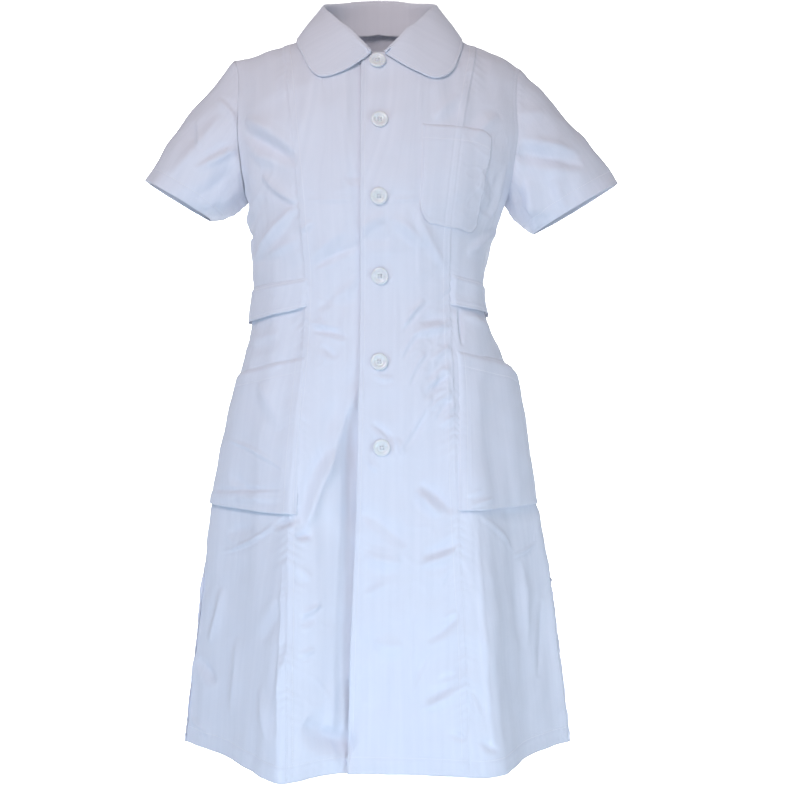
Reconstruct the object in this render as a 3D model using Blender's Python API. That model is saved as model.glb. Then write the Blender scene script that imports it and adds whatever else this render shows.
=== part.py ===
"""Nurse uniform dress, empty but keeping the shape of being worn.

Units are metres, +Z is up and the front faces -Y, so the wearer's left is +X.
The origin is the middle of the neck, level with the inner ends of the shoulder seams.

A point on the dress is read from body_points(turn, rise):
turn is an angle in degrees round the body, 0 at the centre front, 90 at the wearer's left
side, -90 at the right side and 180 at the centre back;
rise is 0 at the hem, 1 at the underarm and 2 at the shoulder seam.
Each cloth piece is a wall between such points and the same points moved in.
"""

import math
from collections import namedtuple

import bmesh
import bpy
import numpy as np
from mathutils import Matrix, Vector

# Cloth and seams
CLOTH = 0.0015
SEAM_TRIM = 0.00015
LAYER_GAP = 0.0007

# Heights of the main levels, from the neck point down
HEM = -0.955
UNDERARM = -0.225
SHOULDER_REACH = 0.205
SHOULDER_FULLNESS = 0.35

# Shoulder ridge: its slope, the extra drop at the left shoulder's end, and its rise to the neck
RIDGE_SLOPE = 0.285
RIDGE_START = 0.080
LEFT_DROP = 3.2
LEFT_DROP_START = 0.135
NECK_RISE = 0.060
NECK_RISE_WIDTH = 0.060
FRONT_NECK_LEAN = 0.5

# Neck hole, an oval seen from above
NECK_HALF_WIDTH = 0.080
NECK_FRONT = 0.083
NECK_BACK = 0.062

# Front lap: how wide the hidden under layer is, and how fast it comes back out
LAP_WIDTH = 0.044
LAP_GAP = 0.0012
LAP_CLEAR = 0.007
LAP_RETURN = 0.014

# Rows and columns of the cloth grids
SKIRT_ROWS = 11
WAIST_ROWS = 12
WAIST_FROM = -0.440
BODICE_ROWS = 8
FRONT_COLUMNS = 14
UNDER_FRONT_COLUMNS = 14
SIDE_COLUMNS = 11
BACK_COLUMNS = 22

Section = namedtuple("Section", "height right left front back squareness")
SECTIONS = (
    Section(-0.955, 0.262, 0.260, 0.163, 0.168, 2.00),
    Section(-0.890, 0.256, 0.254, 0.158, 0.164, 2.00),
    Section(-0.826, 0.248, 0.246, 0.153, 0.160, 2.00),
    Section(-0.760, 0.241, 0.238, 0.149, 0.156, 2.00),
    Section(-0.680, 0.231, 0.227, 0.143, 0.150, 2.05),
    Section(-0.613, 0.222, 0.212, 0.138, 0.145, 2.10),
    Section(-0.548, 0.208, 0.196, 0.132, 0.138, 2.15),
    Section(-0.483, 0.194, 0.182, 0.124, 0.129, 2.20),
    Section(-0.440, 0.184, 0.170, 0.118, 0.121, 2.25),
    Section(-0.400, 0.175, 0.154, 0.111, 0.109, 2.30),
    Section(-0.360, 0.168, 0.141, 0.106, 0.101, 2.30),
    Section(-0.320, 0.168, 0.145, 0.109, 0.103, 2.30),
    Section(-0.270, 0.171, 0.157, 0.121, 0.112, 2.30),
    Section(-0.225, 0.176, 0.172, 0.127, 0.118, 2.35),
)

# Where the princess seams lie, as distances from the middle
Princess = namedtuple("Princess", "height right left")
PRINCESS_SEAMS = (
    Princess(-0.955, 0.109, 0.116),
    Princess(-0.780, 0.110, 0.110),
    Princess(-0.650, 0.109, 0.103),
    Princess(-0.560, 0.106, 0.100),
    Princess(-0.480, 0.099, 0.098),
    Princess(-0.430, 0.096, 0.096),
    Princess(-0.335, 0.092, 0.094),
    Princess(-0.275, 0.096, 0.095),
    Princess(-0.215, 0.102, 0.101),
    Princess(-0.150, 0.108, 0.109),
    Princess(-0.090, 0.114, 0.118),
    Princess(-0.030, 0.122, 0.128),
    Princess(0.000, 0.126, 0.132),
)

# The edge of the top layer of the front lap, which drifts to the wearer's right in the skirt
LapEdge = namedtuple("LapEdge", "height edge")
LAP_EDGES = (
    LapEdge(-0.955, -0.0344),
    LapEdge(-0.780, -0.0309),
    LapEdge(-0.660, -0.0263),
    LapEdge(-0.550, -0.0239),
    LapEdge(-0.440, -0.0216),
    LapEdge(-0.200, -0.0204),
    LapEdge(0.000, -0.0195),
)

# Armhole edge, as an angle round the body, from the underarm to the shoulder point
Armhole = namedtuple("Armhole", "share turn")
ARMHOLE = (
    Armhole(0.00, 90.0),
    Armhole(0.04, 79.0),
    Armhole(0.10, 71.0),
    Armhole(0.20, 65.0),
    Armhole(0.35, 62.0),
    Armhole(0.55, 62.0),
    Armhole(0.75, 64.5),
    Armhole(0.90, 68.5),
    Armhole(1.00, 72.5),
)

# Side seams run forward from the underarm to the hem
SIDE_SEAM_AT_HEM = 84.0
SIDE_SEAM_AT_UNDERARM = 90.0

# The hem seen from above: flat panels meeting in soft corners. Each row is the depth at an
# angle, as a share of the section's whole depth there
Corner = namedtuple("Corner", "turn share")
HEM_SHAPE = (
    Corner(-180, 0.95),
    Corner(-168, 0.99),
    Corner(-158, 0.94),
    Corner(-148, 1.00),
    Corner(-140, 0.98),
    Corner(-129, 0.80),
    Corner(-117, 0.55),
    Corner(-104, 0.28),
    Corner(-90, 0.00),
    Corner(-76, 0.05),
    Corner(-66, 0.16),
    Corner(-59, 0.27),
    Corner(-50, 0.44),
    Corner(-46, 0.55),
    Corner(-42, 0.70),
    Corner(-35, 0.91),
    Corner(-31, 1.05),
    Corner(-27, 1.13),
    Corner(-22, 1.11),
    Corner(-15, 1.03),
    Corner(-9, 0.99),
    Corner(1, 0.99),
    Corner(12, 1.02),
    Corner(24, 1.06),
    Corner(33, 1.07),
    Corner(38, 0.98),
    Corner(43, 0.73),
    Corner(51, 0.41),
    Corner(59, 0.25),
    Corner(67, 0.12),
    Corner(78, 0.04),
    Corner(90, 0.00),
    Corner(105, 0.30),
    Corner(118, 0.58),
    Corner(130, 0.82),
    Corner(140, 0.98),
    Corner(148, 1.02),
    Corner(158, 0.97),
    Corner(168, 0.93),
    Corner(180, 0.95),
)
SHAPE_TOP = -0.400
SHAPE_SPAN = 0.450

# The hem hangs lower at its right front corner
DIP_TURN = -26.0
DIP_SPREAD = 9.0
DIP_TOP = -0.780
DIP = 0.0055

# Soft folds: where each lies at the hem and at its top end, how wide it is in degrees, how far
# it stands out (or in, if negative)
Fold = namedtuple("Fold", "turn_at_hem turn_at_top top spread depth")
FOLDS = (
    Fold(-142.0, -136.0, -0.460, 9.0, -0.0060),
    Fold(-161.0, -158.0, -0.420, 9.0, 0.0060),
    Fold(178.0, 179.0, -0.560, 9.0, -0.0050),
    Fold(157.0, 154.0, -0.440, 9.0, 0.0065),
    Fold(120.0, 122.0, -0.500, 10.0, -0.0060),
)
FOLD_FADE = 0.30

# The right front sinks beside the lap: how far, and how wide the sunken strip is
Sink = namedtuple("Sink", "height depth width")
SINKS = (
    Sink(-0.955, 0.0050, 0.030),
    Sink(-0.860, 0.0070, 0.030),
    Sink(-0.740, 0.0075, 0.034),
    Sink(-0.640, 0.0120, 0.036),
    Sink(-0.540, 0.0080, 0.028),
    Sink(-0.450, 0.0010, 0.022),
    Sink(-0.200, 0.0000, 0.022),
    Sink(0.000, 0.0000, 0.022),
)


def read_table(rows, at):
    """Every column but the first, smoothly between the rows, at these values of the first."""
    table = np.array(rows, float)
    keys = table[:, 0]
    at = np.clip(np.asarray(at, float), keys[0], keys[-1])
    low = np.clip(np.searchsorted(keys, at) - 1, 0, len(keys) - 2)
    step = keys[low + 1] - keys[low]
    t = (at - keys[low]) / step
    found = []
    for column in table[:, 1:].T:
        slope = np.gradient(column, keys)
        found.append(
            (2 * t**3 - 3 * t**2 + 1) * column[low]
            + (t**3 - 2 * t**2 + t) * step * slope[low]
            + (3 * t**2 - 2 * t**3) * column[low + 1]
            + (t**3 - t**2) * step * slope[low + 1]
        )
    return found


def smooth_step(share):
    """From 0 to 1 with a soft start and end."""
    share = np.clip(share, 0, 1)
    return share * share * (3 - 2 * share)


def quarter(share):
    """A share from 0 to 1 as an angle from 0 to 90 degrees, in radians."""
    return np.clip(share, 0, 1) * math.pi / 2


def section_at(rise):
    """Half widths right and left, depths front and back, and squareness of the section."""
    height = HEM + (UNDERARM - HEM) * np.clip(rise, 0, 1)
    right, left, front, back, square = read_table(SECTIONS, height)
    fullness = np.sin(quarter((rise - 1) / SHOULDER_FULLNESS))
    right = right + (SHOULDER_REACH - right) * fullness
    left = left + (SHOULDER_REACH - left) * fullness
    return height, right, left, front, back, square


def nominal_height(rise):
    """The height of a rise near the princess seam, for reading the seam tables."""
    low = HEM + (UNDERARM - HEM) * np.clip(rise, 0, 1)
    return low - UNDERARM * np.sin(quarter(rise - 1))


def turn_of(across, rise):
    """The angle round the front at which the section is this far from the middle."""
    _, right, left, _, _, square = section_at(rise)
    half = np.where(across < 0, right, left)
    share = np.clip(np.abs(across) / half, 0, 1)
    return np.sign(across) * np.degrees(np.arcsin(share ** (square / 2)))


def ridge_height(across):
    """Height of the shoulder ridge, which rises to the neck."""
    reach = np.abs(across)
    drop = RIDGE_SLOPE * (reach - RIDGE_START)
    drop = drop + np.where(across > 0, LEFT_DROP * np.maximum(reach - LEFT_DROP_START, 0) ** 2, 0)
    return NECK_RISE * np.exp(-((reach / NECK_RISE_WIDTH) ** 2)) - drop


def lean(across, at_front):
    """Exponent of the bodice's side profile: 2 is round, and less is straighter."""
    return 2 - np.where(at_front, FRONT_NECK_LEAN * np.exp(-((across / NECK_RISE_WIDTH) ** 2)), 0)


def fold_depth(turn, height):
    """How far the large folds stand out at this place."""
    depth = np.zeros(np.broadcast(turn, height).shape)
    for fold in FOLDS:
        down = np.clip((fold.top - height) / (fold.top - HEM), 0, 1)
        middle = fold.turn_at_top + (fold.turn_at_hem - fold.turn_at_top) * down
        away = (turn - middle + 180) % 360 - 180
        strength = smooth_step((fold.top - height) / FOLD_FADE)
        depth = depth + fold.depth * strength * np.exp(-((away / fold.spread) ** 2))
    return depth


def body_points(turn, rise, sunk=False):
    """Points of the dress's outer face. sunk gives the layer under the front lap."""
    turn, rise = np.broadcast_arrays(np.asarray(turn, float), np.asarray(rise, float))
    height, right, left, front, back, square = section_at(rise)
    sine, cosine = np.sin(np.radians(turn)), np.cos(np.radians(turn))
    x = np.where(sine < 0, right, left) * np.sign(sine) * np.abs(sine) ** (2 / square)
    at_front = cosine > 0
    depth = np.where(at_front, front, back)
    share = np.abs(cosine) ** (2 / square)
    (shaped,) = read_table(HEM_SHAPE, (turn + 180) % 360 - 180)
    share = share + (shaped - share) * smooth_step((SHAPE_TOP - height) / SHAPE_SPAN)
    y = -depth * np.sign(cosine) * share
    arc = quarter(rise - 1)
    power = 2 / lean(x, at_front)
    y = y * np.cos(arc) ** power
    z = height + (ridge_height(x) - UNDERARM) * np.sin(arc) ** power
    out = np.stack([x / right**2, y / depth**2], -1)
    out = out / np.maximum(np.linalg.norm(out, axis=-1, keepdims=True), 1e-9)
    push = fold_depth(turn, height)
    if sunk:
        push = push - sunk_by(x, height, rise)
    low = smooth_step((DIP_TOP - height) / (DIP_TOP - HEM))
    z = z - DIP * low * np.exp(-(((turn - DIP_TURN) / DIP_SPREAD) ** 2))
    return np.stack([x + out[..., 0] * push, y + out[..., 1] * push, z], -1)


def sunk_by(x, height, rise):
    """How far the right front lies in: under the lap, and in the soft fold beside it."""
    seam_height = nominal_height(rise)
    (edge,) = read_table(LAP_EDGES, seam_height)
    depth, width = read_table(SINKS, seam_height)
    under = smooth_step((x - edge + LAP_CLEAR) / LAP_RETURN + 1)
    valley = depth * np.exp(-(((x - edge + 0.5 * width) / width) ** 2))
    return (CLOTH + LAP_GAP) * under + valley


def body_normals(turn, rise, sunk=False):
    """Outward directions of the dress's outer face."""
    small = 0.004
    turn, rise = np.broadcast_arrays(np.asarray(turn, float), np.asarray(rise, float))
    along = body_points(turn + 40 * small, rise, sunk) - body_points(turn - 40 * small, rise, sunk)
    low, high = np.clip(rise - small, 0, 2), np.clip(rise + small, 0, 2)
    up = body_points(turn, high, sunk) - body_points(turn, low, sunk)
    out = np.cross(along, up)
    return out / np.linalg.norm(out, axis=-1, keepdims=True)


def grid_normals(points, ring=False):
    """Outward directions of a grid of points whose columns run to the left, seen from outside."""
    if ring:
        along = np.roll(points, -1, axis=1) - np.roll(points, 1, axis=1)
    else:
        along = np.gradient(points, axis=1)
    up = np.gradient(points, axis=0)
    out = np.cross(along, up)
    return out / np.maximum(np.linalg.norm(out, axis=-1, keepdims=True), 1e-12)


def trimmed(points, start=True, end=True, bottom=True, top=True):
    """The grid with its chosen borders drawn in a little, which leaves the gap of a seam."""
    points = points.copy()

    def draw_in(border, inside):
        way = inside - border
        return border + SEAM_TRIM * way / np.linalg.norm(way, axis=-1, keepdims=True)

    if start:
        points[:, 0] = draw_in(points[:, 0], points[:, 1])
    if end:
        points[:, -1] = draw_in(points[:, -1], points[:, -2])
    if bottom:
        points[0] = draw_in(points[0], points[1])
    if top:
        points[-1] = draw_in(points[-1], points[-2])
    return points


def cloth_material(name, colour, roughness):
    """A plain finish for one piece."""
    made = bpy.data.materials.new(name)
    made.use_nodes = True
    shader = made.node_tree.nodes["Principled BSDF"]
    shader.inputs["Base Color"].default_value = (*colour, 1.0)
    shader.inputs["Roughness"].default_value = roughness
    shader.inputs["Metallic"].default_value = 0.0
    return made


WHITE_CLOTH = (0.80, 0.82, 0.90)
WHITE_BUTTON = (0.86, 0.88, 0.90)


def wall(name, outer, inner, ring=False):
    """A closed wall between two grids of points, open round the middle if it is a ring."""
    rows, columns = outer.shape[:2]
    mesh = bmesh.new()
    skins = [
        [[mesh.verts.new(point) for point in row] for row in grid.tolist()]
        for grid in (outer, inner)
    ]
    last = columns if ring else columns - 1
    for skin in skins:
        for r in range(rows - 1):
            for c in range(last):
                n = (c + 1) % columns
                mesh.faces.new((skin[r][c], skin[r][n], skin[r + 1][n], skin[r + 1][c]))
    out, back = skins
    for r in (0, rows - 1):
        for c in range(last):
            n = (c + 1) % columns
            mesh.faces.new((out[r][c], out[r][n], back[r][n], back[r][c]))
    if not ring:
        for c in (0, columns - 1):
            for r in range(rows - 1):
                mesh.faces.new((out[r][c], out[r + 1][c], back[r + 1][c], back[r][c]))
    bmesh.ops.recalc_face_normals(mesh, faces=mesh.faces)
    data = bpy.data.meshes.new(name)
    mesh.to_mesh(data)
    mesh.free()
    data.shade_smooth()
    data.set_sharp_from_angle(angle=math.radians(40))
    data.materials.append(cloth_material(name, WHITE_CLOTH, 0.75))
    made = bpy.data.objects.new(name, data)
    bpy.context.scene.collection.objects.link(made)
    return made


def neck_stop(x, rise):
    """How much of the bodice's rise a column has before it meets the neck hole."""
    _, right, _, front, back, square = section_at(rise)
    return lambda at_front: _stop_share(x, right, front if at_front else back, square, at_front)


def _stop_share(x, half, depth, square, at_front):
    """The share of the rise at which the section's depth is the neck hole's."""
    opening = NECK_FRONT if at_front else NECK_BACK
    hole = opening * np.sqrt(np.maximum(1 - (x / NECK_HALF_WIDTH) ** 2, 0))
    here = depth * (1 - (np.abs(x) / half) ** square) ** (1 / square)
    share = np.clip(hole / here, 0, 1) ** (lean(x, at_front) / 2)
    return np.arccos(share) / (math.pi / 2)


def row_shares():
    """Rises of the skirt rows, then the shares of the bodice rows above the underarm."""
    waist = (WAIST_FROM - HEM) / (UNDERARM - HEM)
    skirt = np.concatenate(
        [np.linspace(0, waist, SKIRT_ROWS + 1), np.linspace(waist, 1, WAIST_ROWS + 1)[1:]]
    )
    bodice = np.linspace(0, 1, BODICE_ROWS + 1)[1:]
    return skirt, bodice


def panel_places(first, last, columns, at_front):
    """Turns and rises of a panel between two edges, each a function of rise."""
    skirt, bodice = row_shares()
    share = np.linspace(0, 1, columns + 1)
    stop = np.ones(columns + 1)
    for _ in range(12):
        rise = 1 + stop
        turn = first(rise) + (last(rise) - first(rise)) * share
        x = body_points(turn, np.minimum(rise, 2))[..., 0]
        stop = neck_stop(x, rise)(at_front)
    rises = np.concatenate([np.outer(skirt, np.ones(columns + 1)), 1 + np.outer(bodice, stop)])
    turns = first(rises) + (last(rises) - first(rises)) * share
    return turns, rises


def princess_turn(side):
    """The princess seam's angle on one side, -1 for the wearer's right and 1 for the left."""

    def turn(rise):
        right, left = read_table(PRINCESS_SEAMS, nominal_height(rise))
        return turn_of(side * (right if side < 0 else left), rise)

    return turn


def side_turn(side, behind=False):
    """The angle of the side seam and, above it, of the front or back edge of the armhole."""

    def turn(rise):
        at_hem, at_top = SIDE_SEAM_AT_HEM, SIDE_SEAM_AT_UNDERARM
        seam = at_hem + (at_top - at_hem) * np.clip(rise, 0, 1)
        (edge,) = read_table(ARMHOLE, np.clip(rise - 1, 0, 1))
        edge = 180 - edge if behind else edge
        return side * np.where(rise > 1, edge, seam)

    return turn


def lap_turn(extra):
    """The angle of the lap's edge, or of the under layer's if extra is the lap's width."""

    def turn(rise):
        (edge,) = read_table(LAP_EDGES, nominal_height(rise))
        return turn_of(edge + extra, rise)

    return turn


def panel(name, first, last, columns, at_front=True, sunk=False):
    """A panel of the dress between two edges, from the hem to its shoulder seam."""
    turns, rises = panel_places(first, last, columns, at_front)
    outer = trimmed(body_points(turns, rises, sunk), bottom=False)
    return wall(name, outer, outer - CLOTH * body_normals(turns, rises, sunk))


def back_side(side):
    """The back's edge, with its angle counted on from the left side through the centre back."""

    def turn(rise):
        edge = side_turn(1, behind=True)(rise)
        return edge if side > 0 else 360 - edge

    return turn


# Sleeve cuffs: the ends of each cuff seen from the front, as distances from the middle and
# heights, and its half depth from front to back
Cuff = namedtuple("Cuff", "side outer_x outer_z lower_x lower_z half_depth")
CUFFS = (
    Cuff(-1, -0.3160, -0.1940, -0.2265, -0.2470, 0.061),
    Cuff(1, 0.3260, -0.1975, 0.2110, -0.2660, 0.047),
)
SLEEVE_ROWS = 8
SLEEVE_FULLNESS = 0.006
SLEEVE_GAP = 0.0006

# Soft troughs of the sleeves: the place round the sleeve, from 0 at the underarm over the
# front to 0.5 at the top, where along it each lies, and its size
Trough = namedtuple("Trough", "side around spread along length depth")
TROUGHS = (
    Trough(-1, 0.15, 0.055, 0.30, 0.45, -0.0060),
    Trough(-1, 0.84, 0.060, 0.35, 0.45, -0.0050),
    Trough(1, 0.20, 0.045, 0.40, 0.50, -0.0065),
    Trough(1, 0.82, 0.060, 0.35, 0.45, -0.0050),
)


def armhole_ring(side):
    """Points and outward directions round the armhole, from the underarm over the front."""
    _, bodice = row_shares()
    up = 1 + np.concatenate([[0], bodice])
    down = up[-2:0:-1]
    turns = np.concatenate([side_turn(side)(up), side_turn(side, behind=True)(down)])
    rises = np.concatenate([up, down])
    return body_points(turns, rises), body_normals(turns, rises)


def sleeve(name, cuff):
    """A sleeve, from the armhole's ring to the oval cuff."""
    ring, ring_normals = armhole_ring(cuff.side)
    steps = np.linalg.norm(np.roll(ring, -1, axis=0) - ring, axis=1)
    walked = np.concatenate([[0], np.cumsum(steps)[:-1]])
    top = BODICE_ROWS
    around = np.where(
        np.arange(len(ring)) <= top,
        0.5 * walked / walked[top],
        0.5 + 0.5 * (walked - walked[top]) / (steps.sum() - walked[top]),
    )
    angle = 2 * math.pi * around
    outer_end = np.array([cuff.outer_x, 0, cuff.outer_z])
    lower_end = np.array([cuff.lower_x, 0, cuff.lower_z])
    middle, half = (outer_end + lower_end) / 2, (lower_end - outer_end) / 2
    depth = np.array([0, -cuff.half_depth, 0])
    end = middle + np.outer(np.cos(angle), half) + np.outer(np.sin(angle), depth)
    along = np.linspace(0, 1, SLEEVE_ROWS + 1)[:, None, None]
    points = ring * (1 - along) + end * along
    order = slice(None, None, -cuff.side)
    points, angles_in_turn = points[:, order], around[order]
    out = grid_normals(points, ring=True)
    push = SLEEVE_FULLNESS * np.sin(np.pi * along[..., 0]) * np.ones(len(ring))
    for trough in TROUGHS:
        if trough.side == cuff.side:
            across = np.exp(-(((angles_in_turn - trough.around) / trough.spread) ** 2))
            down = np.exp(-(((along[..., 0] - trough.along) / trough.length) ** 2))
            push = push + trough.depth * across * down * smooth_step(along[..., 0] / 0.25)
    push = push * smooth_step((1.15 - along[..., 0]) / 0.30)
    points = points + out * push[..., None]
    out = grid_normals(points, ring=True)
    mitre = out[0] + ring_normals[order]
    out[0] = mitre / np.linalg.norm(mitre, axis=-1, keepdims=True)
    points[0] = points[0] + SLEEVE_GAP * (points[1] - points[0]) / np.linalg.norm(
        points[1] - points[0], axis=-1, keepdims=True
    )
    return wall(name, points, points - CLOTH * out, ring=True)


def rise_at(turn, height):
    """The rise at which a place at this angle has this height."""
    rise = np.full(np.broadcast(turn, height).shape, 1.3)
    at_front = np.cos(np.radians(turn)) > 0
    for _ in range(8):
        x = body_points(turn, rise)[..., 0]
        share = np.clip((height - UNDERARM) / (ridge_height(x) - UNDERARM), 0, 1)
        rise = 1 + np.arcsin(share ** (lean(x, at_front) / 2)) / (math.pi / 2)
    return np.where(height < UNDERARM, (height - HEM) / (UNDERARM - HEM), rise)


# Pieces that lie on the dress. Each row is one line across the piece, from its lower end to
# its upper end: its place along the piece, the angles and heights of both ends, and how far
# each end stands off the cloth under it
Line = namedtuple("Line", "along turn_low low turn_high high off_low off_high")

CHEST_POCKET = (
    Line(0.00, 15.8, -0.2420, 12.7, -0.1366, 0.0, 0.0),
    Line(0.07, 18.5, -0.2570, 15.0, -0.1370, 0.0, 0.0),
    Line(0.30, 27.7, -0.2675, 22.0, -0.1380, 0.0, 0.0004),
    Line(0.65, 39.5, -0.2710, 32.7, -0.1395, 0.0, 0.0008),
    Line(0.92, 51.0, -0.2715, 42.5, -0.1460, 0.0, 0.0004),
    Line(1.00, 53.6, -0.2630, 45.3, -0.1506, 0.0, 0.0),
)
HIP_POCKET_LEFT = (
    Line(0.00, 26.7, -0.6305, 34.1, -0.4228, 0.0015, 0.0000),
    Line(0.20, 36.3, -0.6312, 47.7, -0.4300, 0.0030, 0.0010),
    Line(0.50, 52.7, -0.6315, 65.0, -0.4360, 0.0030, 0.0030),
    Line(0.80, 74.0, -0.6305, 78.0, -0.4440, 0.0020, 0.0080),
    Line(1.00, 85.5, -0.6300, 86.5, -0.4520, 0.0010, 0.0105),
)
HIP_POCKET_RIGHT = (
    Line(0.00, -85.5, -0.6297, -86.5, -0.4520, 0.0030, 0.0020),
    Line(0.15, -75.0, -0.6305, -76.0, -0.4513, 0.0035, 0.0025),
    Line(0.50, -52.1, -0.6325, -57.0, -0.4465, 0.0045, 0.0015),
    Line(0.80, -36.0, -0.6346, -37.6, -0.4369, 0.0035, 0.0010),
    Line(1.00, -25.1, -0.6350, -25.1, -0.4296, 0.0020, 0.0000),
)
BELT = (
    Line(0.00, 39.5, -0.3679, 38.8, -0.3253, 0.0010, 0.0000),
    Line(0.06, 50.7, -0.3721, 50.7, -0.3291, 0.0020, 0.0002),
    Line(0.20, 90.0, -0.3787, 90.0, -0.3350, 0.0025, 0.0004),
    Line(0.50, 180.0, -0.3790, 180.0, -0.3365, 0.0010, 0.0002),
    Line(0.80, 270.0, -0.3880, 270.0, -0.3400, 0.0030, 0.0010),
    Line(0.93, 307.6, -0.3825, 305.3, -0.3377, 0.0025, 0.0004),
    Line(0.97, 321.6, -0.3771, 320.7, -0.3342, 0.0020, 0.0002),
    Line(1.00, 331.1, -0.3712, 332.9, -0.3301, 0.0010, 0.0000),
)
POCKET_CLOTH = 0.0015
BELT_CLOTH = 0.0020


def patch(name, lines, columns, rows, thickness):
    """A piece lying on the dress, made from the dress's own points moved out."""
    turn_low, low, turn_high, high, off_low, off_high = read_table(
        lines, np.linspace(0, 1, columns + 1)
    )
    share = np.linspace(0, 1, rows + 1)[:, None]
    turn = turn_low + (turn_high - turn_low) * share
    rise = rise_at(turn, low + (high - low) * share)
    off = LAYER_GAP + off_low + (off_high - off_low) * share
    out = body_normals(turn, rise)
    under = body_points(turn, rise) + out * off[..., None]
    return wall(name, under + out * thickness, under)


# The collar: one folded piece from the left front end round the back to the right front end.
# For each angle round the neck: how far from the neck's axis and how high the roll lies, and
# how far it is from there to the free edge
Fall = namedtuple("Fall", "turn roll_reach roll_height fall")
COLLAR = (
    Fall(9.0, 0.0848, -0.0300, 0.0180),
    Fall(14.0, 0.0838, -0.0245, 0.0350),
    Fall(27.6, 0.0800, -0.0060, 0.0692),
    Fall(40.3, 0.0785, 0.0060, 0.0940),
    Fall(50.6, 0.0780, 0.0170, 0.0953),
    Fall(59.2, 0.0780, 0.0255, 0.0830),
    Fall(78.7, 0.0785, 0.0400, 0.0655),
    Fall(90.0, 0.0790, 0.0460, 0.0627),
    Fall(130.0, 0.0740, 0.0620, 0.0665),
    Fall(180.0, 0.0700, 0.0720, 0.0700),
    Fall(230.0, 0.0715, 0.0620, 0.0665),
    Fall(270.0, 0.0735, 0.0460, 0.0607),
    Fall(302.3, 0.0750, 0.0250, 0.0770),
    Fall(321.3, 0.0770, 0.0070, 0.0916),
    Fall(336.3, 0.0790, -0.0080, 0.0676),
    Fall(347.0, 0.0835, -0.0250, 0.0380),
    Fall(351.5, 0.0848, -0.0300, 0.0180),
)
COLLAR_CLOTH = 0.0020
COLLAR_COLUMNS = 48
COLLAR_CLOSER = 0.60
FARTHEST_EDGE = 0.16
ROLL_SIZE = 0.0030
FALL_BULGE = 0.0040
COLLAR_OFF = 0.0012
COLLAR_BASE_GAP = 0.0010


def bodice_over(reach, turn):
    """The place on the bodice this far from the neck's axis in this direction from above."""
    x = reach * np.sin(np.radians(turn))
    away = -reach * np.cos(np.radians(turn))
    at_front = away < 0
    _, right, left, front, back, square = section_at(np.full_like(x, 1.5))
    half = np.where(x < 0, right, left)
    here = np.where(at_front, front, back) * (1 - (np.abs(x) / half) ** square) ** (1 / square)
    power = 2 / lean(x, at_front)
    arc = np.arccos(np.clip(np.abs(away) / here, 0, 1) ** (1 / power))
    z = UNDERARM + (ridge_height(x) - UNDERARM) * np.sin(arc) ** power
    return np.stack([x, away, z], -1)


def neck_point(turn):
    """The neckline's point in this direction."""
    sine, cosine = np.sin(np.radians(turn)), np.cos(np.radians(turn))
    depth = np.where(cosine > 0, NECK_FRONT, NECK_BACK)
    reach = 1 / np.sqrt((sine / NECK_HALF_WIDTH) ** 2 + (cosine / depth) ** 2)
    return bodice_over(reach, turn)


def reach_of_edge(turn, roll_reach, roll_height, fall):
    """How far out the collar's edge meets the bodice, given the fall's length from its roll."""
    flat = np.stack([np.sin(np.radians(turn)), -np.cos(np.radians(turn))], -1)
    roll = np.concatenate([flat * roll_reach[:, None], roll_height[:, None]], axis=1)
    near, far = roll_reach, np.full_like(roll_reach, FARTHEST_EDGE)
    for _ in range(40):
        middle = (near + far) / 2
        length = np.linalg.norm(bodice_over(middle, turn) - roll, axis=-1)
        near = np.where(length < fall, middle, near)
        far = np.where(length < fall, far, middle)
    return middle


def collar():
    """The stand inside the neck, the roll, and the fall that lies on the shoulders."""
    first, last = COLLAR[0].turn, COLLAR[-1].turn
    even = np.linspace(0, 1, COLLAR_COLUMNS + 1)
    closer = COLLAR_CLOSER * np.sin(2 * math.pi * even) / (2 * math.pi)
    turn = first + (last - first) * (even - closer)
    roll_reach, roll_height, fall = read_table(COLLAR, turn)
    edge_reach = reach_of_edge(turn, roll_reach, roll_height, fall)
    outward = np.stack(
        [np.sin(np.radians(turn)), -np.cos(np.radians(turn)), np.zeros_like(turn)], -1
    )
    upward = np.array([0.0, 0.0, 1.0])
    base = neck_point(turn) - COLLAR_CLOTH / 2 * outward + COLLAR_BASE_GAP * upward
    edge = bodice_over(edge_reach, turn)
    edge = edge + (COLLAR_CLOTH + COLLAR_OFF) * grid_normals(
        np.stack([edge, bodice_over(edge_reach - ROLL_SIZE, turn)])
    )[0]
    roll = roll_reach[:, None] * outward + roll_height[:, None] * upward
    roll_in = roll - ROLL_SIZE * (outward + upward)
    roll_out = roll + ROLL_SIZE * (outward - upward)
    bulge = FALL_BULGE * smooth_step((edge_reach - roll_reach) / 0.02)[:, None]
    lift = (outward + upward) / math.sqrt(2)
    rows = [edge]
    for share in (0.25, 0.5, 0.75):
        rows.append(edge + (roll_out - edge) * share + bulge * math.sin(math.pi * share) * lift)
    rows += [roll_out, roll, roll_in, (roll_in + base) / 2, base]
    points = np.stack(rows)
    return wall("collar", points, points - COLLAR_CLOTH * grid_normals(points))


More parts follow.
